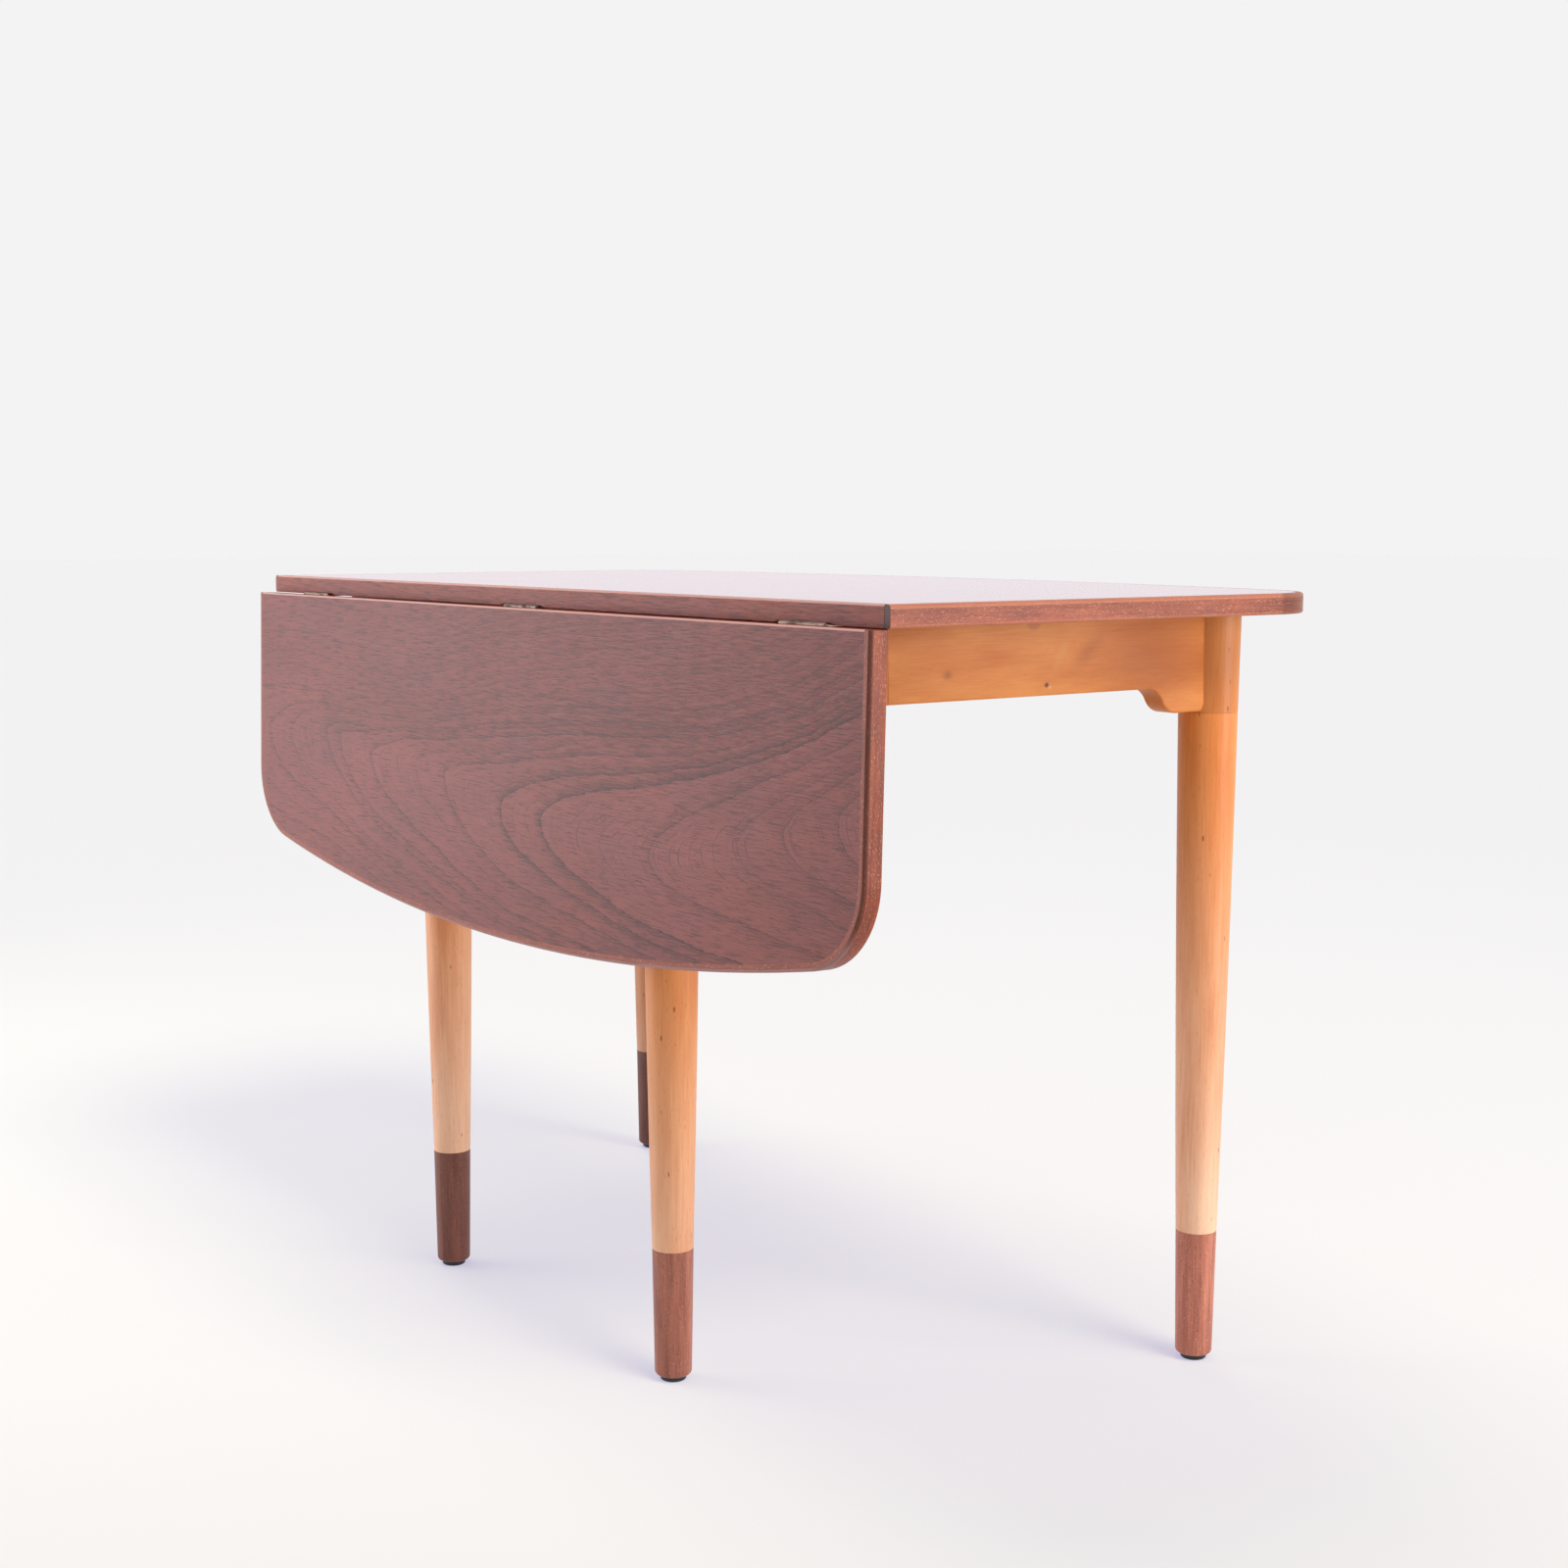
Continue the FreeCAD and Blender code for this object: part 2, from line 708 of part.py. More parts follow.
def leg_cutter(label, x, y):
    """The full taper of a leg, to cope a rail or block that meets it."""
    start = (x, S.hinge_line_y + y, 0)
    return cone(label, S.leg_foot_radius, S.leg_head_radius, S.underside, start)


# ---------------------------------------------------------------- rails


def ogee_radius():
    """Radius of two equal arcs that make the bracket's ogee between level ends."""
    run, drop = S.bracket_curve, S.bracket_drop
    return (run * run + drop * drop) / (drop * 4)


def end_rail(label, side):
    """An end rail that deepens through an ogee into a bracket beside the back leg."""
    body = new_body(f"{label}_blank")
    sketch = new_sketch(body, "YZ_Plane", "side_view")
    level, low = S.rail_bottom, S.rail_bottom - S.bracket_drop
    end = S.back_leg_y - S.cope_margin
    deep = S.back_leg_y - S.bracket_flat
    curve = deep - S.bracket_curve
    corners = [
        (S.front_rail_y, level),
        (curve, level),
        (curve + S.bracket_curve / 2, level - S.bracket_drop / 2),
        (deep, low),
        (end, low),
        (end, S.underside),
        (S.front_rail_y, S.underside),
    ]
    radius = ogee_radius()
    draw_profile(sketch, corners, arcs={1: (radius, -1), 2: (radius, 1)})
    pad(body, sketch, S.rail_thickness)
    outer = S.rail_thickness.number if side > 0 else 0
    top_level = S.underside.number

    def lower_outer(edge):
        below = max(v.Point.z for v in edge.Vertexes) < top_level - 1
        return lies_at(edge, "x", outer) and below

    round_edges(body, "lower_arris", S.rail_arris, lower_outer)
    x = S.inner_rail_x if side > 0 else -S.end_rail_x
    put(body, x, S.hinge_line_y, 0)
    cope = leg_cutter(f"{label}_cope", S.back_leg_x * side, S.back_leg_y)
    return cut(label, body, [cope])


def back_rail(label):
    """The far long rail, with a bracket at each leg."""
    body = new_body(f"{label}_blank")
    sketch = new_sketch(body, "XZ_Plane", "front_view")
    level, low = S.rail_bottom, S.rail_bottom - S.bracket_drop
    end = S.back_leg_x - S.cope_margin
    deep = S.back_leg_x - S.bracket_flat
    curve = deep - S.bracket_curve
    middle = (curve + S.bracket_curve / 2, level - S.bracket_drop / 2)
    corners = [
        (-curve, level),
        (curve, level),
        middle,
        (deep, low),
        (end, low),
        (end, S.underside),
        (-end, S.underside),
        (-end, low),
        (-deep, low),
        (-middle[0], middle[1]),
    ]
    radius = ogee_radius()
    turns = {1: (radius, -1), 2: (radius, 1), 8: (radius, 1), 9: (radius, -1)}
    draw_profile(sketch, corners, arcs=turns)
    pad(body, sketch, S.rail_thickness)
    put(body, 0, S.hinge_line_y + S.back_leg_y + S.rail_setback, 0)
    copes = [
        leg_cutter(f"{label}_cope_{name}", S.back_leg_x * n, S.back_leg_y)
        for name, n in SIDES.items()
    ]
    return cut(label, body, copes)


def front_rail(label):
    """The near long rail, between the end rails and behind the folded gates."""
    front = S.hinge_line_y + S.front_rail_y
    low = (-S.inner_rail_x, front, S.rail_bottom)
    high = (S.inner_rail_x, front + S.rail_thickness, S.underside)
    return box(label, low, high)


def corner_block(label, side, at_back):
    """A triangular block in a corner of the frame, drilled for a screw into the top."""
    leg = S.corner_block_leg
    corner_x = S.inner_rail_x * side
    corner_y = S.inner_rail_y if at_back else S.front_rail_y + S.rail_thickness
    way = -1 if at_back else 1
    body = new_body(f"{label}_blank")
    sketch = new_sketch(body, "XY_Plane", "plan", lift=S.underside - S.corner_block_height)
    far_x = corner_x - leg * side
    far_y = corner_y + leg * way
    draw_profile(sketch, [(corner_x, corner_y), (corner_x, far_y), (far_x, corner_y)])
    pad(body, sketch, S.corner_block_height)
    put(body, 0, S.hinge_line_y, 0)
    x, y = fixing_screw_place(side, at_back)
    hole = rod(
        f"{label}_hole",
        S.screw_radius + S.screw_fit,
        S.corner_block_height,
        (x, S.hinge_line_y + y, S.underside - S.corner_block_height),
    )
    tools = [hole]
    if at_back:
        tools.append(leg_cutter(f"{label}_cope", S.back_leg_x * side, S.back_leg_y))
    return cut(label, body, tools)


def fixing_screw_place(side, at_back):
    """Where the screw of a corner block stands, from the middle of the hinge edge."""
    inset = S.corner_block_leg * 0.4
    x = (S.inner_rail_x - inset) * side
    if at_back:
        return x, S.inner_rail_y - inset
    return x, S.front_rail_y + S.rail_thickness + inset


def fixing_screws(label):
    """The screws that hold the top down, one in each corner block."""
    z = S.underside - S.corner_block_height
    length = S.corner_block_height + S.fixing_screw_bite
    screws = []
    for side_name, side in SIDES.items():
        for at_back in (False, True):
            x, y = fixing_screw_place(side, at_back)
            name = f"{label}_{side_name}_{'back' if at_back else 'front'}"
            start = (x, S.hinge_line_y + y, z)
            shank = rod(f"{name}_shank", S.screw_radius, length, start)
            head_start = (x, S.hinge_line_y + y, z - S.screw_radius)
            head = rod(f"{name}_head", S.screw_head_radius, S.screw_radius, head_start)
            screws.append(fuse(name, [head, shank]))
    return group(label, screws)


# ---------------------------------------------------------------- gates


def knuckled(label, side, plan, first_finger):
    """A rail or block that ends in wooden knuckle fingers round the gate's pin.

    The plan comes to a 45 degree point at the pin, so the joint can fold a quarter turn.
    Every second level carries a finger, and the levels between are slots for the other
    piece's fingers.
    """
    half = S.rail_thickness / 2
    pin_x, pin_y = S.knuckle_x * side, S.hinge_line_y + S.knuckle_y
    height = S.gate_top - S.rail_bottom
    pitch = height / KNUCKLE_FINGERS
    body = new_body(f"{label}_plan")
    sketch = new_sketch(body, "XY_Plane", "plan", lift=S.rail_bottom)
    draw_profile(sketch, [(x * side, y) for x, y in plan])
    pad(body, sketch, height)
    put(body, pin_x, pin_y, 0)
    fingers, slots = [body], []
    for n in range(KNUCKLE_FINGERS):
        base = S.rail_bottom + pitch * n
        if (n - first_finger) % 2 == 0:
            start = (pin_x, pin_y, base + S.knuckle_gap / 2)
            fingers.append(rod(f"{label}_finger{n}", half, pitch - S.knuckle_gap, start))
        else:
            relief = half + S.knuckle_relief
            slots.append(rod(f"{label}_slot{n}", relief, pitch, (pin_x, pin_y, base)))
    bore_radius = S.knuckle_pin_radius + S.knuckle_pin_fit
    slots.append(rod(f"{label}_bore", bore_radius, height, (pin_x, pin_y, S.rail_bottom)))
    return fuse(f"{label}_fingers", fingers), slots


def knuckle_block(label, side):
    """The fixed half of the knuckle joint, glued to the front rail and the end rail."""
    half = S.rail_thickness / 2
    back = S.front_rail_y - S.knuckle_y
    end = S.end_rail_x - S.knuckle_x
    plan = [(as_size(0), 0), (half, -half), (end, -half), (end, back), (back, back)]
    blank, slots = knuckled(label, side, plan, first_finger=1)
    return cut(label, blank, slots)


def fly_rail(label, side):
    """The swinging half of the knuckle joint: a rail that carries its leg's post."""
    half = S.rail_thickness / 2
    end = S.gate_arm
    plan = [(as_size(0), 0), (-half, half), (-end, half), (-end, -half), (-half, -half)]
    blank, slots = knuckled(label, side, plan, first_finger=0)
    cope = leg_cutter(f"{label}_cope", S.swing_leg_x * side, S.swing_leg_y)
    return cut(label, blank, slots + [cope])


def knuckle_pin(label, side):
    """The steel rod through all the wooden fingers of one gate."""
    start = (S.knuckle_x * side, S.hinge_line_y + S.knuckle_y, S.rail_bottom)
    return rod(label, S.knuckle_pin_radius, S.gate_top - S.rail_bottom, start)


def leaf_rest(label, side):
    """A block under the leaf that meets the swung leg, which stands lower than the top."""
    body = new_body(label)
    sketch = new_sketch(body, "XY_Plane", "plan", lift=-S.gate_drop)
    swung_x = (S.knuckle_x + S.knuckle_y - S.swing_leg_y) * side
    swung_y = S.gate_arm - S.knuckle_y - S.joint_gap
    half_length, half_width = S.rest_length / 2, S.rest_width / 2
    corners = [
        (swung_x - half_length, swung_y - half_width),
        (swung_x + half_length, swung_y - half_width),
        (swung_x + half_length, swung_y + half_width),
        (swung_x - half_length, swung_y + half_width),
    ]
    draw_profile(sketch, corners)
    pad(body, sketch, S.gate_drop)

    def upright(edge):
        first, last = (v.Point for v in edge.Vertexes)
        return abs(first.z - last.z) > 1e-4

    round_edges(body, "corners", S.rest_corner, upright)
    return body


# ---------------------------------------------------------------- the whole table


def build_top():
    """The fixed top with its half of the hinges."""
    screws = [
        fixing_screw_place(side, at_back) for side in SIDES.values() for at_back in (False, True)
    ]
    pieces = [
        board_panel("top_panel", S.top_depth, screws),
        outer_lipping("top_outer_lipping", S.top_depth),
        hinge_lipping("top_hinge_lipping"),
        hinge_screws("top_hinge_screws"),
    ]
    for name, place in HINGE_PLACES.items():
        pieces.append(hinge_plate(f"hinge_{name}_top_plate", place, knuckles=(0, 2)))
    pins = [hinge_pin(f"hinge_{name}_pin", place) for name, place in HINGE_PLACES.items()]
    return [on_top(piece) for piece in pieces] + pins


def build_leaf():
    """The hanging leaf with its half of the hinges."""
    pieces = [
        board_panel("leaf_panel", S.leaf_depth),
        outer_lipping("leaf_outer_lipping", S.leaf_depth),
        hinge_lipping("leaf_hinge_lipping"),
        hinge_screws("leaf_hinge_screws"),
    ]
    for name, place in HINGE_PLACES.items():
        pieces.append(hinge_plate(f"hinge_{name}_leaf_plate", place, knuckles=(1,)))
    for name, side in SIDES.items():
        pieces.append(leaf_rest(f"leaf_rest_{name}", side))
    return [on_leaf(piece) for piece in pieces]


def build_frame():
    """The rails and blocks that carry the top."""
    pieces = [back_rail("back_rail"), front_rail("front_rail"), fixing_screws("fixing_screws")]
    for name, side in SIDES.items():
        pieces.append(end_rail(f"end_rail_{name}", side))
        pieces.append(corner_block(f"corner_block_front_{name}", side, at_back=False))
        pieces.append(corner_block(f"corner_block_back_{name}", side, at_back=True))
    return pieces


def build_legs_and_gates():
    """Two fixed legs at the back, and two on the folded gates."""
    pieces = []
    for name, side in SIDES.items():
        pieces += whole_leg(f"back_{name}", S.back_leg_x * side, S.back_leg_y, S.underside)
        pieces += whole_leg(f"swing_{name}", S.swing_leg_x * side, S.swing_leg_y, S.gate_top)
        pieces.append(knuckle_block(f"knuckle_block_{name}", side))
        pieces.append(fly_rail(f"fly_rail_{name}", side))
        pieces.append(knuckle_pin(f"knuckle_pin_{name}", side))
    return pieces


def check_and_export(pieces):
    """Stop at any failed object or bad shape, then write one STEP file for each piece."""
    doc.recompute()
    for item in doc.Objects:
        if "Invalid" in item.State or "Error" in item.State:
            raise RuntimeError(f"{item.Label}: {item.State}")
    for piece in pieces:
        if piece.Shape.isNull() or not piece.Shape.isValid():
            raise RuntimeError(f"{piece.Label} has no valid shape")
    os.makedirs("parts", exist_ok=True)
    for piece in pieces:
        piece.Shape.exportStep(f"parts/{piece.Label}.step")
        solids = len(piece.Shape.Solids)
        print(f"{piece.Label}: {solids} solid(s), {piece.Shape.Volume / 1000:.1f} cm3")


S = make_sheet()
derive(S)
check_and_export(build_top() + build_leaf() + build_frame() + build_legs_and_gates())
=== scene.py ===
"""A drop leaf table in teak and beech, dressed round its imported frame.

Lengths are metres in the frame's axes: +X along the hinge line, the leaf hangs on the -Y side,
+Z up. Every new piece is a tube: a row of closed rings of points, joined and capped.
"""

import json
import logging
import math
from dataclasses import dataclass, field, replace
from enum import Enum
from typing import Optional, Sequence, Union

import bpy
import numpy as np
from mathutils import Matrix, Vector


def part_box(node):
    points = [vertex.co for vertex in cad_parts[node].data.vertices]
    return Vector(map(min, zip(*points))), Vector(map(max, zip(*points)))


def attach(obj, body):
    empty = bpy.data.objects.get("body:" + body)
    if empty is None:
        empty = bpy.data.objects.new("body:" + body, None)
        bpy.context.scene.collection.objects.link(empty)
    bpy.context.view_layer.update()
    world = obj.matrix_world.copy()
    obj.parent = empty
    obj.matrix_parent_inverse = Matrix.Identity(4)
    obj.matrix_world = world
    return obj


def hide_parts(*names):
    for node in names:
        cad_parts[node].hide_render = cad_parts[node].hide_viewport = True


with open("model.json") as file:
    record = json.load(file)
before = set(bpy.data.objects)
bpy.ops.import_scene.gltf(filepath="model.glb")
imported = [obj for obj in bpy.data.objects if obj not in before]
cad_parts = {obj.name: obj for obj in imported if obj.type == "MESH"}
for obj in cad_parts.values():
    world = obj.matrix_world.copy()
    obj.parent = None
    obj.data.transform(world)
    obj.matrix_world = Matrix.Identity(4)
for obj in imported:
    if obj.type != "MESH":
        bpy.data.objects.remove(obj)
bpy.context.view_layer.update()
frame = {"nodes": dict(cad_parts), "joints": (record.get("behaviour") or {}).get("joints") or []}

Array = np.ndarray
Socket = bpy.types.NodeSocket
Value = Union[float, Sequence[float], Socket]
Triple = tuple[float, float, float]
Axes = tuple[Socket, Socket, Socket]
Polyline = tuple[tuple[float, float], ...]

LOG = logging.getLogger("table")
MM = 0.001
QUARTER = math.pi / 2
MIRRORED = np.array([-1, 1])

# Places closer than SAME count as one. Edges sharper than SHARP_ANGLE stay crisp. A finish's grain
# stands up by about RELIEF.
SAME = 1e-6
SHARP_ANGLE = math.radians(32)
RELIEF = 0.0001

# How finely round and straight stretches are divided. The shares are of a notch's run-out.
ARRIS_STEPS = 4
RING_POINTS = 96
TAPER_POINTS = 16
END_POINTS, CORNER_POINTS, BOW_POINTS = 16, 29, 121
HINGE_EDGE_POINTS, GROOVE_POINTS = 41, 9
OGEE_STEPS, NOSE_STEPS = 14, 6
UPPER_STEPS, LOWER_STEPS, HINGE_STEPS = 10, 8, 6
FOOT_STEPS, GLIDE_STEPS = 10, 8
NOTCH_SHARES = np.array([-0.02, 0, 0.25, 0.5, 0.75, 0.9, 1.0])


class Body(Enum):
    """The two bodies of the frame."""

    TABLE = "table_frame"
    LEAF = "drop_leaf"


class Slot(Enum):
    """The record's material slots, listed beside new pieces but not given to them."""

    VENEER = "teak_veneer"
    LIPPING = "teak_lipping"
    RAIL = "beech_rail"
    LEG = "beech_leg"
    FOOT = "teak_foot"
    PLASTIC = "black_plastic"


class Grain(Enum):
    """Which way the fibres of a piece run."""

    X = "x"
    Y = "y"
    Z = "z"
    PATH = "path"


# ---------------------------------------------------------------- surfaces


@dataclass
class Surface:
    """A closed surface as plain arrays.

    Attributes:
        points: vertex places, (n, 3).
        quads: vertex numbers of the four-sided faces, (q, 4).
        caps: flat end faces, each a loop of vertex numbers.
        quad_uv: pattern coordinates of each corner of each quad, (q, 4, 2).
        cap_uv: pattern coordinates of each corner of each cap.
        values: named numbers, one for each vertex.
    """

    points: Array
    quads: Array
    caps: list[Array]
    quad_uv: Array
    cap_uv: list[Array]
    values: dict[str, Array] = field(default_factory=dict)

    def volume(self) -> float:
        """Signed volume: a sixth of the sum of a . (b x c) over a fan of each face.

        Returns:
            The volume, positive when the faces look outwards.
        """
        p = self.points[self.quads]
        first = np.einsum("ij,ij->i", p[:, 0], np.cross(p[:, 1], p[:, 2]))
        second = np.einsum("ij,ij->i", p[:, 0], np.cross(p[:, 2], p[:, 3]))
        total = first.sum() + second.sum()
        for cap in self.caps:
            q = self.points[cap]
            total += np.sum(q[0] * np.cross(q[1:-1], q[2:]).sum(0))
        return float(total) / 6

    def outward(self) -> "Surface":
        """Turn every face outwards.

        Returns:
            This surface.
        """
        if self.volume() < 0:
            self.quads = self.quads[:, ::-1]
            self.quad_uv = self.quad_uv[:, ::-1]
            self.caps = [cap[::-1] for cap in self.caps]
            self.cap_uv = [uv[::-1] for uv in self.cap_uv]
        return self


def tube(rings: Array, along: Array, around: Array, values: Optional[dict] = None) -> Surface:
    """Join a row of closed rings into a capped tube.

    Ring i and ring i + 1 are joined point by point, and the last point of a ring to its first.

    Args:
        rings: points of every ring, (n, m, 3).
        along: pattern coordinate of each ring, (n,).
        around: pattern coordinate round a ring with the closing one at the end, (m + 1,).
        values: named numbers for every point, each (n, m).

    Returns:
        The surface, faces outwards.
    """
    count, size = rings.shape[:2]
    i, j = np.meshgrid(np.arange(count - 1), np.arange(size), indexing="ij")
    i, j = i.ravel(), j.ravel()
    corners = ((i, j), (i + 1, j), (i + 1, j + 1), (i, j + 1))
    quads = np.stack([ring * size + point % size for ring, point in corners], 1)
    quad_uv = np.stack([np.stack([along[ring], around[point]], 1) for ring, point in corners], 1)
    first = np.arange(size)
    last = (count - 1) * size + first[::-1]
    flat = around[:-1]
    caps_uv = [
        np.stack([np.full(size, along[0]), flat], 1),
        np.stack([np.full(size, along[-1]), flat[::-1]], 1),
    ]
    marks = {name: value.ravel() for name, value in (values or {}).items()}
    whole = Surface(rings.reshape(-1, 3), quads, [first, last], quad_uv, caps_uv, marks)
    return whole.outward()


def perimeter(loop: Array) -> Array:
    """Running length round a closed loop of points, with the full length at the end."""
    steps = np.linalg.norm(np.roll(loop, -1, axis=0) - loop, axis=1)
    return np.concatenate([[0.0], np.cumsum(steps)])


def arc(centre: Sequence[float], radius: float, start: float, end: float, steps: int) -> Array:
    """Points of a flat arc: centre + radius (cos a, sin a) for a from start to end."""
    angle = np.linspace(start, end, steps + 1)
    return np.asarray(centre) + radius * np.stack([np.cos(angle), np.sin(angle)], 1)


def inset(loop: Array, amount: float, held: Array) -> Array:
    """Draw a closed loop inwards by mitring the normals of its two sides at each point.

    A point moves by -(n1 + n2) / (1 + n1 . n2) times the amount.

    Args:
        loop: the points in order, (n, 2).
        amount: how far each side moves.
        held: which points stay put, (n,).

    Returns:
        The loop drawn in.
    """
    before = loop - np.roll(loop, 1, axis=0)
    after = np.roll(loop, -1, axis=0) - loop
    turn = np.sum(loop[:, 0] * np.roll(loop[:, 1], -1) - np.roll(loop[:, 0], -1) * loop[:, 1])
    way = 1.0 if turn > 0 else -1.0
    normals = []
    for side in (before, after):
        unit = side / np.linalg.norm(side, axis=1, keepdims=True)
        normals.append(np.stack([unit[:, 1], -unit[:, 0]], 1) * way)
    total = normals[0] + normals[1]
    scale = 1 + np.sum(normals[0] * normals[1], axis=1, keepdims=True)
    moved = loop - total / scale * amount
    return np.where(held[:, None], loop, moved)


def turned(profile: Array, centre: Sequence[float], tone: float, tan: float) -> Surface:
    """A lathe shape: each (radius, height) of the profile swept round a vertical axis.

    Args:
        profile: (radius, height) points from the bottom up.
        centre: x and y of the axis.
        tone: how light this piece is, 1 being plain; on the legs partly painted shade and light.
        tan: how far up the legs' painted shading with height this piece is moved.

    Returns:
        The surface, with its tone and tan as values.
    """
    angle = np.linspace(0, 2 * math.pi, RING_POINTS, endpoint=False)
    circle = np.stack([np.cos(angle), np.sin(angle)], 1)
    flat = profile[:, 0, None, None] * circle[None]
    height = np.broadcast_to(profile[:, 1, None, None], flat.shape[:2] + (1,))
    rings = np.concatenate([flat, height], 2) + np.array([centre[0], centre[1], 0.0])
    around = np.linspace(0, 2 * math.pi * float(profile[:, 0].max()), RING_POINTS + 1)
    values = {"tone": np.full(rings.shape[:2], tone), "tan": np.full(rings.shape[:2], tan)}
    return tube(rings, profile[:, 1], around, values)


def plate(loop: Array, low: float, high: float, arris: tuple[float, float], axis: str) -> Surface:
    """A flat piece with a drawn outline and rounded arrises on both faces.

    The outline is drawn in by r (1 - cos a) while it climbs r sin a through each arris. Points on
    the loop's highest level stay put, because the piece is glued there.

    Args:
        loop: the outline, as (horizontal, height) points.
        low: where the piece starts along its thickness.
        high: where it ends.
        arris: rounding at the low face and at the high face.
        axis: "x" or "y", the direction of the thickness.

    Returns:
        The surface.
    """
    held = loop[:, 1] > loop[:, 1].max() - SAME
    angle = np.linspace(0, QUARTER, ARRIS_STEPS + 1)
    left, drawn = 1 - np.sin(angle), 1 - np.cos(angle)
    levels = np.concatenate([low + arris[0] * left[::-1], high - arris[1] * left])
    depths = np.concatenate([arris[0] * drawn[::-1], arris[1] * drawn])
    rings = []
    for level, depth in zip(levels, depths):
        flat = inset(loop, depth, held)
        place = np.full(len(flat), level)
        order = (place, flat[:, 0], flat[:, 1]) if axis == "x" else (flat[:, 0], place, flat[:, 1])
        rings.append(np.stack(order, 1))
    return tube(np.stack(rings), levels, perimeter(loop))


# ---------------------------------------------------------------- finishes


@dataclass(frozen=True)
class Noise:
    """Soft noise about 0.5 over a place in metres.

    Attributes:
        scale: lumps in a metre along each direction.
        detail: how many finer layers lie over it.
        roughness: how strong the finer layers are.
        band: values that turn into 0 and 1, or none to keep the noise as it is.
    """

    scale: Sequence[float]
    detail: float = 2.0
    roughness: float = 0.5
    band: Optional[tuple[float, float]] = None


class Graph:
    """Short-hand for the node tree of one material."""

    def __init__(self, name: str) -> None:
        """Start a material with a bare Principled shader.

        Args:
            name: the material's name.
        """
        self.material = bpy.data.materials.new(name)
        self.material.use_nodes = True
        self.tree = self.material.node_tree
        self.shader = self.tree.nodes["Principled BSDF"]

    def node(self, kind: str, inputs: Optional[dict] = None, **settings: object) -> bpy.types.Node:
        """Add a node.

        Args:
            kind: its type, without the leading ShaderNode.
            inputs: a constant or a link for each input, by name or number.
            settings: its properties.

        Returns:
            The node.
        """
        made = self.tree.nodes.new(f"ShaderNode{kind}")
        for name, value in settings.items():
            setattr(made, name, value)
        for key, value in (inputs or {}).items():
            self.feed(made.inputs[key], value)
        return made

    def feed(self, socket: Socket, value: Value) -> None:
        """Link another socket to this one, or set it to a constant.

        Args:
            socket: an input.
            value: an output, a number, or a colour of three parts.
        """
        if isinstance(value, bpy.types.NodeSocket):
            self.tree.links.new(value, socket)
        elif isinstance(value, tuple) and len(value) == 3 and socket.type == "RGBA":
            socket.default_value = (*value, 1.0)
        else:
            socket.default_value = value

    def shade(self, **inputs: Value) -> None:
        """Feed the shader's inputs, each named as it is there with _ for a space."""
        for name, value in inputs.items():
            self.feed(self.shader.inputs[name.replace("_", " ")], value)

    def math(self, operation: str, a: Value, b: Value = 0.0, clamp: bool = False) -> Socket:
        """One step of arithmetic."""
        made = self.node("Math", {0: a, 1: b}, operation=operation, use_clamp=clamp)
        return made.outputs[0]

    def add(self, a: Value, b: Value) -> Socket:
        """a + b."""
        return self.math("ADD", a, b)

    def less(self, a: Value, b: Value) -> Socket:
        """a - b."""
        return self.math("SUBTRACT", a, b)

    def times(self, a: Value, b: Value) -> Socket:
        """a times b."""
        return self.math("MULTIPLY", a, b)

    def over(self, a: Value, b: Value) -> Socket:
        """a divided by b."""
        return self.math("DIVIDE", a, b)

    def swing(self, value: Socket, amount: float) -> Socket:
        """A noise moved to swing about 0, times an amount."""
        return self.times(self.less(value, 0.5), amount)

    def length(self, a: Socket, b: Socket) -> Socket:
        """The root of a a + b b."""
        return self.math("SQRT", self.add(self.times(a, a), self.times(b, b)))

    def split(self, vector: Socket) -> Axes:
        """The three parts of a vector."""
        made = self.node("SeparateXYZ", {0: vector})
        return made.outputs[0], made.outputs[1], made.outputs[2]

    def place(self) -> Axes:
        """Where a point is on the table at rest, in metres."""
        return self.split(self.node("TexCoord").outputs["Object"])

    def pattern(self) -> Axes:
        """Where a point is on the piece's own pattern, in metres."""
        return self.split(self.node("UVMap", uv_map="grain").outputs[0])

    def value(self, name: str) -> Socket:
        """One of the piece's own values."""
        return self.node("Attribute", attribute_name=name).outputs["Fac"]

    def stretch(self, parts: Sequence[Socket], scale: Sequence[float]) -> Socket:
        """A vector of parts, each times its own scale."""
        scaled = [self.times(part, factor) for part, factor in zip(parts, scale)]
        return self.node("CombineXYZ", dict(enumerate(scaled))).outputs[0]

    def noise(self, parts: Sequence[Socket], kind: Noise) -> Socket:
        """Noise over a place.

        Args:
            parts: the place, in metres.
            kind: the noise.

        Returns:
            The noise, kept to its band if it has one.
        """
        inputs = {"Vector": self.stretch(parts, kind.scale), "Scale": 1.0}
        inputs |= {"Detail": kind.detail, "Roughness": kind.roughness}
        made = self.node("TexNoise", inputs).outputs[0]
        return made if kind.band is None else self.level(made, *kind.band)

    def ramp(self, value: Socket, stops: Sequence[tuple[float, Triple]]) -> Socket:
        """Colours along a value.

        Args:
            value: what picks the colour.
            stops: values and their colours, in order.

        Returns:
            The colour.
        """
        made = self.node("ValToRGB", {0: value})
        points = made.color_ramp.elements
        while len(points) < len(stops):
            points.new(0.5)
        for point, (place, colour) in zip(points, stops):
            point.position = place
            point.color = (*colour, 1.0)
        return made.outputs[0]

    def level(self, value: Socket, low: float, high: float) -> Socket:
        """0 at low, 1 at high and beyond, smooth between; low may be the larger."""
        inputs = {"Value": value, "From Min": low, "From Max": high}
        return self.node("MapRange", inputs, interpolation_type="SMOOTHSTEP").outputs[0]

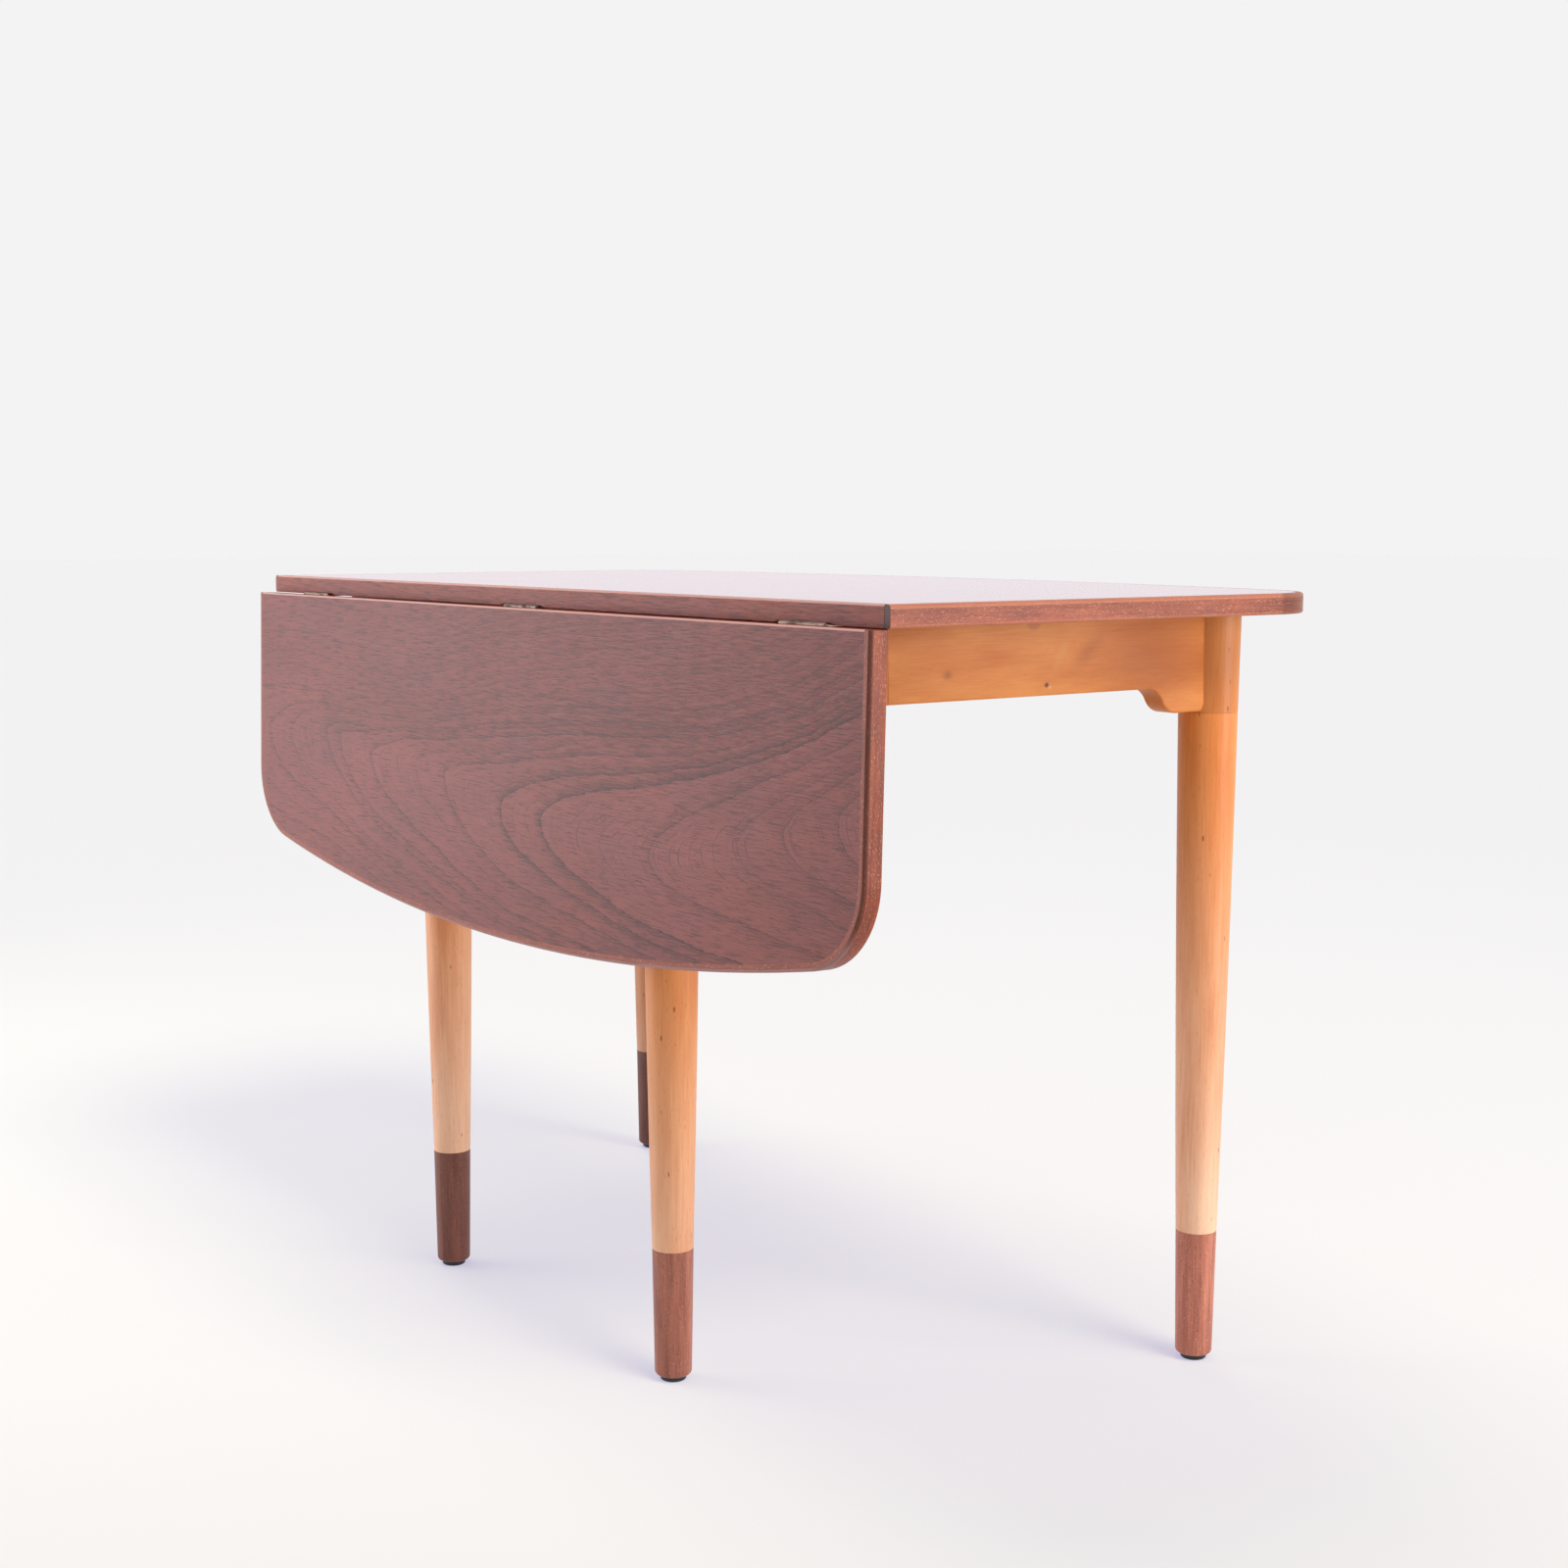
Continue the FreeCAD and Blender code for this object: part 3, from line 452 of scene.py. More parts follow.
    def mix(self, factor: Value, a: Value, b: Value, blend: str = "MIX") -> Socket:
        """Two colours mixed.

        Args:
            factor: share of b.
            a: the first colour.
            b: the second one.
            blend: how b goes over a.

        Returns:
            The colour.
        """
        made = self.node("Mix", data_type="RGBA", blend_type=blend, clamp_factor=True)
        for number, value in ((0, factor), (6, a), (7, b)):
            self.feed(made.inputs[number], value)
        return made.outputs[2]

    def bump(self, height: Socket, distance: float, strength: float) -> None:
        """Raise the surface by a height map."""
        made = self.node("Bump", {"Height": height, "Distance": distance, "Strength": strength})
        self.shade(Normal=made.outputs[0])


def rgb(red: int, green: int, blue: int) -> Triple:
    """A linear colour from display values of 0 to 255."""
    parts = [v / 255 for v in (red, green, blue)]
    return tuple(v / 12.92 if v < 0.04045 else ((v + 0.055) / 1.055) ** 2.4 for v in parts)


def grey(level: float) -> Triple:
    """A grey of three equal parts."""
    return (level, level, level)


@dataclass(frozen=True)
class CrownVeneer:
    """Crown-cut teak veneer under satin lacquer.

    The piece's own values drive the figure: "growth" is whole on each growth line, "spread" is the
    rings in a millimetre, "strength" the nearest line's weight, "shoulder" the distance past the
    bold line beside the crown, "worn" how much painted highlight an arris gets where light catches
    it, and "upper" 1 on a polished face.
    Each line is thin and sharp, and the wood before it darkens softly.

    Attributes:
        name: the material's name.
        pale, middle: the ground where it is lightest and darkest.
        dark: growth lines, shades and pores.
        cool, warm: large patches of the ground.
        arris_highlight: the painted highlight on arrises, where light catches them.
        coat, sheen: weights of a clear coat and a dusty sheen on the polished face.
        roughness, specular: of the lacquer.
        coat_roughness, sheen_tint: of the polished face.
        wander: how far lines stray slowly and quickly, in millimetres.
        line_width, shade_width: of a growth line and the shade before it, in millimetres.
        line_depth, shade_depth, pore_depth: how far each goes to the dark colour.
        bold_line: the bold line's two edges, in millimetres from its middle.
        slow, quick: noises of the straying.
        breaks: where lines are whole.
        streaks, clouds, patches: noises of the ground.
        dashes, hair: noises of the pores; hair follows the growth lines.
    """

    name: str
    pale: Triple
    middle: Triple
    dark: Triple
    cool: Triple
    warm: Triple
    arris_highlight: Triple
    coat: float = 0.0
    sheen: float = 0.0
    roughness: float = 0.42
    specular: float = 0.5
    coat_roughness: float = 0.06
    sheen_tint: Triple = (1.0, 0.72, 0.88)
    wander: tuple[float, float] = (7.0, 4.0)
    line_width: float = 1.1
    shade_width: float = 16.0
    line_depth: float = 0.7
    shade_depth: float = 0.28
    pore_depth: float = 0.82
    bold_line: tuple[float, float] = (0.4, 1.8)
    slow: Noise = Noise((22, 60, 1))
    quick: Noise = Noise((150, 500, 1), 3, 0.65)
    breaks: Noise = Noise((60, 160, 1), 3, 0.65, (0.36, 0.58))
    streaks: Noise = Noise((14, 900, 1), 4, 0.65)
    clouds: Noise = Noise((5, 16, 1), 3)
    dashes: Noise = Noise((36, 900, 1), 4, 0.72)
    hair: Noise = Noise((30, 48), 3, 0.65, (0.55, 0.66))
    patches: Noise = Noise((6, 11, 1), 4, 0.6)

    def straying(self, g: Graph, parts: Axes) -> Socket:
        """How far the growth lines stray here, in millimetres."""
        slow, quick = g.noise(parts, self.slow), g.noise(parts, self.quick)
        return g.add(g.swing(slow, self.wander[0]), g.swing(quick, self.wander[1]))

    def lines(self, g: Graph, phase: Socket, broken: Socket) -> tuple[Socket, Socket]:
        """The growth lines, and the shade before each of them.

        Args:
            g: the material.
            phase: the ring number with its straying.
            broken: 1 where lines are whole.

        Returns:
            How dark the line is and how dark the shade is, 0 to 1.
        """
        spread, strength = g.value("spread"), g.value("strength")
        year = g.math("FRACT", phase)
        before = g.over(g.less(1.0, year), spread)
        gap = g.math("MINIMUM", before, g.over(year, spread))
        line = g.less(1.0, g.level(gap, self.line_width * 0.25, self.line_width))
        line = g.times(g.times(line, strength), g.add(g.times(broken, 0.7), 0.3))
        shade = g.math("SUBTRACT", 1.0, g.over(before, self.shade_width), clamp=True)
        return line, g.times(g.times(shade, shade), strength)

    def ground(self, g: Graph, parts: Axes, streaks: Socket) -> Socket:
        """The wood between the lines.

        Args:
            g: the material.
            parts: place on the pattern.
            streaks: the fine streaks.

        Returns:
            Its colour.
        """
        tone = g.add(g.swing(streaks, 1.2), g.noise(parts, self.clouds))
        colour = g.ramp(tone, ((0.25, self.middle), (0.75, self.pale)))
        patches = g.noise(parts, self.patches)
        colour = g.mix(g.times(g.level(patches, 0.42, 0.66), 0.25), colour, self.cool)
        return g.mix(g.times(g.level(patches, 0.46, 0.30), 0.08), colour, self.warm)

    def make(self) -> bpy.types.Material:
        """Build the material: ground, shades, lines, pores and painted arris highlight, in order.

        Returns:
            The material.
        """
        g = Graph(self.name)
        parts = g.pattern()
        stray = self.straying(g, parts)
        phase = g.add(g.value("growth"), g.times(stray, g.value("spread")))
        broken = g.noise(parts, self.breaks)
        line, shade = self.lines(g, phase, broken)
        past = g.math("ABSOLUTE", g.add(g.times(g.value("shoulder"), 10.0), stray))
        bold = g.less(1.0, g.level(past, *self.bold_line))
        drawn = g.math("MAXIMUM", line, g.times(g.times(bold, broken), 0.5))
        dashes = g.add(g.noise(parts, self.dashes), g.times(shade, 0.10))
        hair = g.noise((parts[0], phase), self.hair)
        pores = g.math("MAXIMUM", g.times(g.level(dashes, 0.52, 0.61), 0.75), g.times(hair, 0.7))
        streaks = g.noise(parts, self.streaks)
        colour = self.ground(g, parts, streaks)
        for share, depth in (
            (shade, self.shade_depth), (drawn, self.line_depth), (pores, self.pore_depth)
        ):
            colour = g.mix(g.times(share, depth), colour, self.dark)
        # Painted highlight: arrises are paled where light would catch them.
        colour = g.mix(g.times(g.value("arris_highlight"), 0.85), colour, self.arris_highlight)
        rough = g.add(g.swing(streaks, 0.14), self.roughness)
        g.bump(g.less(1.0, g.add(g.times(pores, 0.6), g.times(line, 0.3))), RELIEF, 0.6)
        g.shade(Base_Color=colour, Roughness=rough, Specular_IOR_Level=self.specular)
        if self.coat:
            upper = g.value("upper")
            g.shade(Coat_Weight=g.times(upper, self.coat), Coat_Roughness=self.coat_roughness)
            g.shade(Sheen_Weight=g.times(upper, self.sheen), Sheen_Tint=self.sheen_tint)
        return g.material


@dataclass(frozen=True)
class Blemish:
    """A soft elliptical patch of another colour on a face across X.

    Attributes:
        place: y and z of its middle, in metres.
        size: half its length and half its width.
        angle: how far its length leans up from +Y, in degrees.
        colour: what it mixes in.
        strength: how much of that, at most.
        core: share of its size that is evenly coloured.
    """

    place: tuple[float, float]
    size: tuple[float, float]
    angle: float
    colour: Triple
    strength: float
    core: float = 0.0

    def paint(self, g: Graph, colour: Socket) -> Socket:
        """Mix the patch into a colour, on the table's +X side only.

        Args:
            g: the material.
            colour: what lies under the patch.

        Returns:
            The colour with the patch.
        """
        x, y, z = g.place()
        away_y, away_z = g.less(y, self.place[0]), g.less(z, self.place[1])
        run, rise = math.cos(math.radians(self.angle)), math.sin(math.radians(self.angle))
        long = g.add(g.times(away_y, run / self.size[0]), g.times(away_z, rise / self.size[0]))
        wide = g.add(g.times(away_z, run / self.size[1]), g.times(away_y, -rise / self.size[1]))
        share = g.times(g.level(g.length(long, wide), 1.0, self.core), g.level(x, 0.0, 0.1))
        return g.mix(g.times(share, self.strength), colour, self.colour)


@dataclass(frozen=True)
class SolidWood:
    """Solid wood cut from a log, with growth rings, fibres, pores, clouds and small knots.

    Rings are the distance from a pith that lies outside the piece; the fibres run along grain.
    The piece's own values change it: "tone" darkens it, partly as painted shade and light on the
    legs; "tan" moves it up the legs' painted shading with height, as if it were so much higher;
    "end" shows end grain, and painted shade on the leaf's end arrises; "worn" paints a highlight
    on arrises.

    Attributes:
        name: the material's name.
        grain: which way the fibres run.
        pale, dark: the wood where it is lightest and darkest.
        fleck: short dark pores and knots.
        ring: width of a growth ring.
        ring_strength, fleck_strength, cloud_strength, knot_strength: how much each shows.
        fibre: fibres in a metre of length.
        cloud: clouds in a metre, along the fibres and across them.
        roughness, specular: of the lacquer.
        cool, speck, end, worn: cooler streaks, tiny light dots, end grain with some painted shade,
        and a painted highlight on arrises.
        aged: a tint that multiplies the colour, growing with height between two heights: all over
            the rails it is their aged colour; on the legs it is painted shade up under the top and
            painted light near the floor.
        toned: whether the pieces carry a tone and a lift up the painted shading with height.
        pith: where the pith lies, across the fibres.
        blemishes: single patches.
        wander, shiver: large and small bends of the rings.
        fading: where the rings show.
        flecks, streaks, dots: where pores, cooler streaks and light dots are.
        speckle: the cut fibres of end grain.
    """

    name: str
    grain: Grain
    pale: Triple
    dark: Triple
    fleck: Triple
    ring: float = 0.0042
    ring_strength: float = 0.4
    fleck_strength: float = 0.5
    fibre: float = 14.0
    cloud: tuple[float, float] = (5.0, 30.0)
    cloud_strength: float = 0.8
    knot_strength: float = 0.0
    roughness: float = 0.4
    specular: float = 0.35
    cool: Optional[Triple] = None
    speck: Optional[Triple] = None
    end: Optional[Triple] = None
    arris_highlight: Optional[Triple] = None
    aged: Optional[Triple] = None
    tint_shade_from: float = 0.15
    tint_shade_to: float = 0.62
    toned: bool = False
    pith: tuple[float, float] = (0.17, -0.11)
    blemishes: tuple[Blemish, ...] = ()
    wander: Noise = Noise((2.5, 9, 9), 3)
    shiver: Noise = Noise((11, 70, 70))
    fading: Noise = Noise((7, 48, 48), band=(0.3, 0.65))
    flecks: Noise = Noise((150, 1000, 1000), 1, band=(0.66, 0.74))
    streaks: Noise = Noise((16, 130, 130), 4, 0.65, (0.50, 0.64))
    dots: Noise = Noise((420, 1500, 1500), band=(0.60, 0.70))
    speckle: Noise = Noise((1500, 1500, 1500))

    def axes(self, g: Graph) -> Axes:
        """Coordinates along the fibres and across them, in metres.

        Args:
            g: the material.

        Returns:
            The place along the fibres and the two places across them.
        """
        if self.grain is Grain.PATH:
            along, across, _ = g.pattern()
            return along, across, g.times(across, 0.35)
        x, y, z = g.place()
        return {Grain.X: (x, y, z), Grain.Y: (y, x, z), Grain.Z: (z, x, y)}[self.grain]

    def late_wood(self, g: Graph, axes: Axes) -> Socket:
        """The dark part of each growth ring, wandering and fading in and out.

        Args:
            g: the material.
            axes: place along and across the fibres.

        Returns:
            How dark it is, 0 to 1.
        """
        wander, shiver = g.noise(axes, self.wander), g.noise(axes, self.shiver)
        drift = g.add(g.times(wander, 0.03), g.times(shiver, 0.005))
        a = g.less(g.add(axes[1], drift), self.pith[0])
        b = g.less(g.add(axes[2], g.times(drift, 0.7)), self.pith[1])
        year = g.math("FRACT", g.times(g.length(a, b), 1 / self.ring))
        darkness = ((0.0, 0.5), (0.25, 0.0), (0.6, 0.25), (0.9, 1.0))
        late = g.ramp(year, [(share, grey(dark)) for share, dark in darkness])
        return g.times(late, g.noise(axes, self.fading))

    def knots(self, g: Graph, axes: Axes) -> Socket:
        """Small sparse knots: about a third of the points of a scatter, each a long dark dot.

        Args:
            g: the material.
            axes: place along and across the fibres.

        Returns:
            1 in a knot, 0 outside.
        """
        cells = g.node("TexVoronoi", {"Vector": g.stretch(axes, (34, 100, 100)), "Scale": 1.0})
        chosen = g.level(g.split(cells.outputs["Color"])[0], 0.58, 0.80)
        return g.times(g.level(cells.outputs["Distance"], 0.13, 0.05), chosen)

    def fresh(self, g: Graph, axes: Axes, fibres: Socket, flecks: Socket) -> Socket:
        """The wood before age and wear: rings, fibres and clouds, then streaks, pores and knots.

        Args:
            g: the material.
            axes: place along and across the fibres.
            fibres: the noise of the fibres.
            flecks: 1 in a pore.

        Returns:
            Its colour.
        """
        across = self.cloud[1]
        cloud = g.noise(axes, Noise((self.cloud[0], across, across), 4, 0.55))
        tone = g.add(g.swing(fibres, 0.9), 0.5)
        tone = g.add(tone, g.swing(cloud, self.cloud_strength * 2))
        tone = g.less(tone, g.times(self.late_wood(g, axes), self.ring_strength))
        colour = g.ramp(tone, ((0.05, self.dark), (0.85, self.pale)))
        if self.cool is not None:
            colour = g.mix(g.times(g.noise(axes, self.streaks), 0.55), colour, self.cool)
        colour = g.mix(g.times(flecks, self.fleck_strength), colour, self.fleck)
        if self.speck is not None:
            colour = g.mix(g.times(g.noise(axes, self.dots), 0.6), colour, self.speck)
        if self.knot_strength:
            colour = g.mix(g.times(self.knots(g, axes), self.knot_strength), colour, self.fleck)
        return colour

    def used(self, g: Graph, colour: Socket) -> Socket:
        """The wood after age, wear, painted light and painted shade.

        Args:
            g: the material.
            colour: the fresh wood.

        Returns:
            Its colour.
        """
        # Tint growing with height: even over the rails; on the legs painted shade up high, painted light
        # low.
        if self.aged is not None:
            height = g.place()[2]
            if self.toned:
                height = g.add(height, g.value("tan"))
            share = g.level(height, self.tint_shade_from, self.tint_shade_to)
            colour = g.mix(share, colour, g.mix(1.0, colour, self.aged, "MULTIPLY"))
        for blemish in self.blemishes:
            colour = blemish.paint(g, colour)
        # Painted highlight on the arrises, where light would catch them.
        if self.arris_highlight is not None:
            colour = g.mix(g.times(g.value("arris_highlight"), 0.6), colour, self.arris_highlight)
        # Tone: partly the piece's own colour, partly painted shade and light on the legs.
        if self.toned:
            colour = g.mix(1.0, colour, g.value("tone"), "MULTIPLY")
        # End grain; on the leaf's end arrises the same colour is painted shade.
        if self.end is not None:
            cut = g.mix(g.times(g.noise(g.place(), self.speckle), 0.4), self.end, self.dark)
            colour = g.mix(g.value("end"), colour, cut)
        return colour

    def make(self) -> bpy.types.Material:
        """Build the material.

        Returns:
            The material.
        """
        g = Graph(self.name)
        axes = self.axes(g)
        fibres = g.noise(axes, Noise((self.fibre, 900, 900), 4, 0.6))
        flecks = g.noise(axes, self.flecks)
        colour = self.used(g, self.fresh(g, axes, fibres, flecks))
        rough = g.add(g.swing(fibres, 0.12), self.roughness)
        g.bump(g.less(fibres, g.times(flecks, 0.6)), RELIEF, 0.45)
        g.shade(Base_Color=colour, Roughness=rough, Specular_IOR_Level=self.specular)
        return g.material


@dataclass(frozen=True)
class MouldedPlastic:
    """Hard plastic with a faint moulded texture and floor scuffs.

    Attributes:
        name: the material's name.
        colour, scuff: the plastic and its scuffs.
        texture, scuffs: noises of the moulded texture and of the scuffs.
    """

    name: str
    colour: Triple
    scuff: Triple
    texture: Noise = Noise((2600, 2600, 2600))
    scuffs: Noise = Noise((160, 420, 260), 4, 0.65, (0.56, 0.72))

    def make(self) -> bpy.types.Material:
        """Build the material.

        Returns:
            The material.
        """
        g = Graph(self.name)
        scuffs = g.noise(g.place(), self.scuffs)
        g.bump(g.noise(g.place(), self.texture), RELIEF / 2, 0.5)
        colour = g.mix(g.times(scuffs, 0.4), self.colour, self.scuff)
        g.shade(Base_Color=colour, Roughness=g.add(g.times(scuffs, 0.2), 0.38))
        return g.material


@dataclass(frozen=True)
class DullSteel:
    """Rolled or plated steel, dulled and freckled by age.

    Attributes:
        name: the material's name.
        bright, tarnish: the clean metal and the dull patches.
        roughness: of the clean metal.
        patches, brushed: noises of the dull patches and of fine lines along X.
    """

    name: str
    bright: Triple
    tarnish: Triple
    roughness: float = 0.36
    patches: Noise = Noise((130, 210, 210), 5, 0.65, (0.42, 0.66))
    brushed: Noise = Noise((120, 3200, 3200), 3)

    def make(self) -> bpy.types.Material:
        """Build the material.

        Returns:
            The material.
        """
        g = Graph(self.name)
        patches, brushed = (g.noise(g.place(), kind) for kind in (self.patches, self.brushed))
        rough = g.add(g.times(patches, 0.22), g.add(g.times(brushed, 0.12), self.roughness - 0.06))
        g.bump(brushed, RELIEF * 0.3, 0.5)
        colour = g.mix(patches, self.bright, self.tarnish)
        g.shade(Base_Color=colour, Roughness=rough, Metallic=1.0)
        return g.material


RAIL_BLEMISHES = (
    Blemish((0.09, 0.665), (0.10, 0.060), 0, rgb(168, 88, 44), 0.65),
    Blemish((0.012, 0.672), (0.035, 0.014), 35, rgb(152, 78, 40), 0.4),
    Blemish((-0.021, 0.669), (0.030, 0.008), 56, rgb(222, 150, 86), 0.5),
    Blemish((-0.0373, 0.6446), (0.0035, 0.003), 0, rgb(92, 48, 30), 0.9, 0.3),
    Blemish((-0.0335, 0.6425), (0.003, 0.002), 0, rgb(230, 170, 120), 0.7, 0.3),
    Blemish((-0.1491, 0.6575), (0.008, 0.006), 0, rgb(140, 74, 46), 0.55),
    Blemish((-0.0531, 0.6965), (0.010, 0.006), 0, rgb(176, 98, 70), 0.5, 0.5),
)


class Finishes:
    """Every finish of the table, made once and shared."""

    def __init__(self) -> None:
        """Make the materials."""
        self.make_veneers()
        self.make_lippings()
        self.make_beech()
        self.foot = SolidWood(
            "teak foot", Grain.Z, rgb(204, 128, 104), rgb(138, 78, 66), rgb(84, 46, 38),
            ring=0.0036, ring_strength=0.12, fleck_strength=0.5, fibre=30.0, toned=True,
            cloud=(12.0, 160.0), cloud_strength=0.7, speck=rgb(232, 164, 140),
        ).make()
        self.plastic = MouldedPlastic("black plastic", rgb(28, 27, 27), rgb(92, 88, 84)).make()
        self.zinc = DullSteel("zinc plated steel", rgb(196, 196, 192), rgb(140, 134, 124)).make()
        self.hinge = DullSteel("aged hinge steel", rgb(150, 128, 118), rgb(92, 74, 66), 0.46).make()

    def make_veneers(self) -> None:
        """The leaf's satin veneer, the top's polished one and the hinge edge's paler wood."""
        # Their pale arris colour is a painted highlight.
        teak = dict(
            dark=rgb(44, 22, 24), cool=rgb(118, 70, 80), warm=rgb(148, 78, 58), specular=0.2,
            arris_highlight=rgb(236, 178, 162),
        )
        satin = CrownVeneer("crown teak veneer", rgb(152, 81, 72), rgb(133, 69, 61), **teak)
        self.leaf_veneer = satin.make()
        polished = replace(satin, name="polished crown teak veneer", coat=1.0, sheen=0.3)
        self.top_veneer = polished.make()
        self.edge = CrownVeneer("teak edge", rgb(176, 88, 64), rgb(150, 70, 52), **teak).make()

    def make_lippings(self) -> None:
        """The top's teak lipping, and the leaf's, with a pale painted reflection on its arrises."""
        # Its pale orange arris colour is a painted highlight where light catches the arris.
        lipping = SolidWood(
            "teak lipping", Grain.PATH, rgb(184, 102, 78), rgb(122, 64, 52), rgb(78, 40, 34),
            ring=0.0031, ring_strength=0.25, fleck_strength=0.5, fibre=60.0, cloud=(16.0, 60.0),
            cloud_strength=0.6, cool=rgb(124, 68, 62), speck=rgb(236, 176, 150),
            end=rgb(54, 40, 38), arris_highlight=rgb(224, 146, 110), specular=0.2,
        )
        # The leaf's lipping: its arrises get a pale lilac painted reflection of the surround.
        painted_reflection = replace(
            lipping, name="bleached teak lipping", arris_highlight=rgb(172, 140, 146),
            pale=rgb(176, 90, 64), dark=rgb(116, 58, 44),
        )
        self.lipping = {Body.TABLE: lipping.make(), Body.LEAF: painted_reflection.make()}

    def make_beech(self) -> None:
        """The beech of the rails, along X and Y, and of the legs, along Z."""
        beech = dict(pale=rgb(252, 208, 176), dark=rgb(224, 160, 122), fleck=rgb(140, 82, 50))
        beech |= dict(fleck_strength=0.25)
        rails = dict(specular=0.2, aged=(0.80, 0.46, 0.185), tint_shade_from=-1.0, tint_shade_to=-0.5)
        rails |= dict(ring_strength=0.12, fibre=36.0, cloud=(9.0, 38.0))
        # On the legs the tint grows with height: painted shade under the top, painted light near the
        # floor.
        legs = dict(aged=(0.88, 0.50, 0.19), tint_shade_from=0.10, knot_strength=0.8)
        legs |= dict(ring_strength=0.14, toned=True)
        kinds = {Grain.X: rails, Grain.Y: rails | dict(blemishes=RAIL_BLEMISHES), Grain.Z: legs}
        self.beech = {
            grain: SolidWood(f"beech along {grain.value}", grain, **beech, **kind).make()
            for grain, kind in kinds.items()
        }


# ---------------------------------------------------------------- pieces in the scene


def add_piece(
    name: str,
    parts: Union[Surface, Sequence[Surface]],
    material: bpy.types.Material,
    body: Body,
    node: str,
) -> None:
    """Put surfaces into one mesh object at the origin, dress it and hand it to the frame.

    Args:
        name: the piece's name.
        parts: its surfaces.
        material: its finish.
        body: the body that it rides on.
        node: the frame's node that it stands for.
    """
    surfaces = [parts] if isinstance(parts, Surface) else list(parts)
    offsets = np.cumsum([0] + [len(s.points) for s in surfaces])
    points = np.concatenate([s.points for s in surfaces])
    faces = [(s.quads + o).ravel() for s, o in zip(surfaces, offsets)]
    caps = [cap + o for s, o in zip(surfaces, offsets) for cap in s.caps]
    loops = np.concatenate(faces + caps)
    quad_count = sum(len(s.quads) for s in surfaces)
    sizes = np.concatenate([np.full(quad_count, 4), [len(cap) for cap in caps]]).astype(int)
    starts = np.concatenate([[0], np.cumsum(sizes)[:-1]])
    uv = [s.quad_uv.reshape(-1, 2) for s in surfaces] + [u for s in surfaces for u in s.cap_uv]
    mesh = bpy.data.meshes.new(name)
    mesh.vertices.add(len(points))
    mesh.vertices.foreach_set("co", points.astype(np.float32).ravel())
    mesh.loops.add(len(loops))
    mesh.loops.foreach_set("vertex_index", loops.astype(np.int32))
    mesh.polygons.add(len(sizes))
    mesh.polygons.foreach_set("loop_start", starts.astype(np.int32))
    mesh.update(calc_edges=True)
    layer = mesh.uv_layers.new(name="grain")
    layer.data.foreach_set("uv", np.concatenate(uv).astype(np.float32).ravel())
    for key in surfaces[0].values:
        values = np.concatenate([s.values[key] for s in surfaces])
        mesh.attributes.new(key, "FLOAT", "POINT").data.foreach_set("value", values.astype(np.float32))
    mesh.polygons.foreach_set("use_smooth", np.ones(len(sizes), bool))
    mesh.set_sharp_from_angle(angle=SHARP_ANGLE)
    mesh.validate()
    mesh.materials.append(material)
    piece = bpy.data.objects.new(name, mesh)
    bpy.context.scene.collection.objects.link(piece)
    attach(piece, body.value)
    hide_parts(node)
    LOG.info("%s: %d points, %d faces", name, len(points), len(sizes))


def dress_node(node: str, material: bpy.types.Material) -> None:
    """Give a node of the frame its finish.

    Args:
        node: the node's name.
        material: its finish.
    """
    mesh = frame["nodes"][node].data
    if not mesh.materials:
        mesh.materials.append(material)
    for number in range(len(mesh.materials)):
        mesh.materials[number] = material
    LOG.info("%s: dressed", node)


# ---------------------------------------------------------------- the boards


@dataclass(frozen=True)
class Seat:
    """Where a board lies.

    Attributes:
        origin: the middle of its hinge edge's underside.
        across: direction from the hinge edge to the bowed edge.
        up: direction from the underside to the face.
    """

    origin: Triple
    across: Triple
    up: Triple

    def place(self, x: Array, depth: Array, height: Array) -> Array:
        """World places: origin + x along X + depth across + height up.

        Args:
            x: places along the hinge line.
            depth: places across the board.
            height: places through it.

        Returns:
            The places, with one more dimension of three.
        """
        run = np.stack([x, np.zeros_like(x), np.zeros_like(x)], -1)
        sideways = depth[..., None] * np.array(self.across)
        return np.array(self.origin) + run + sideways + height[..., None] * np.array(self.up)


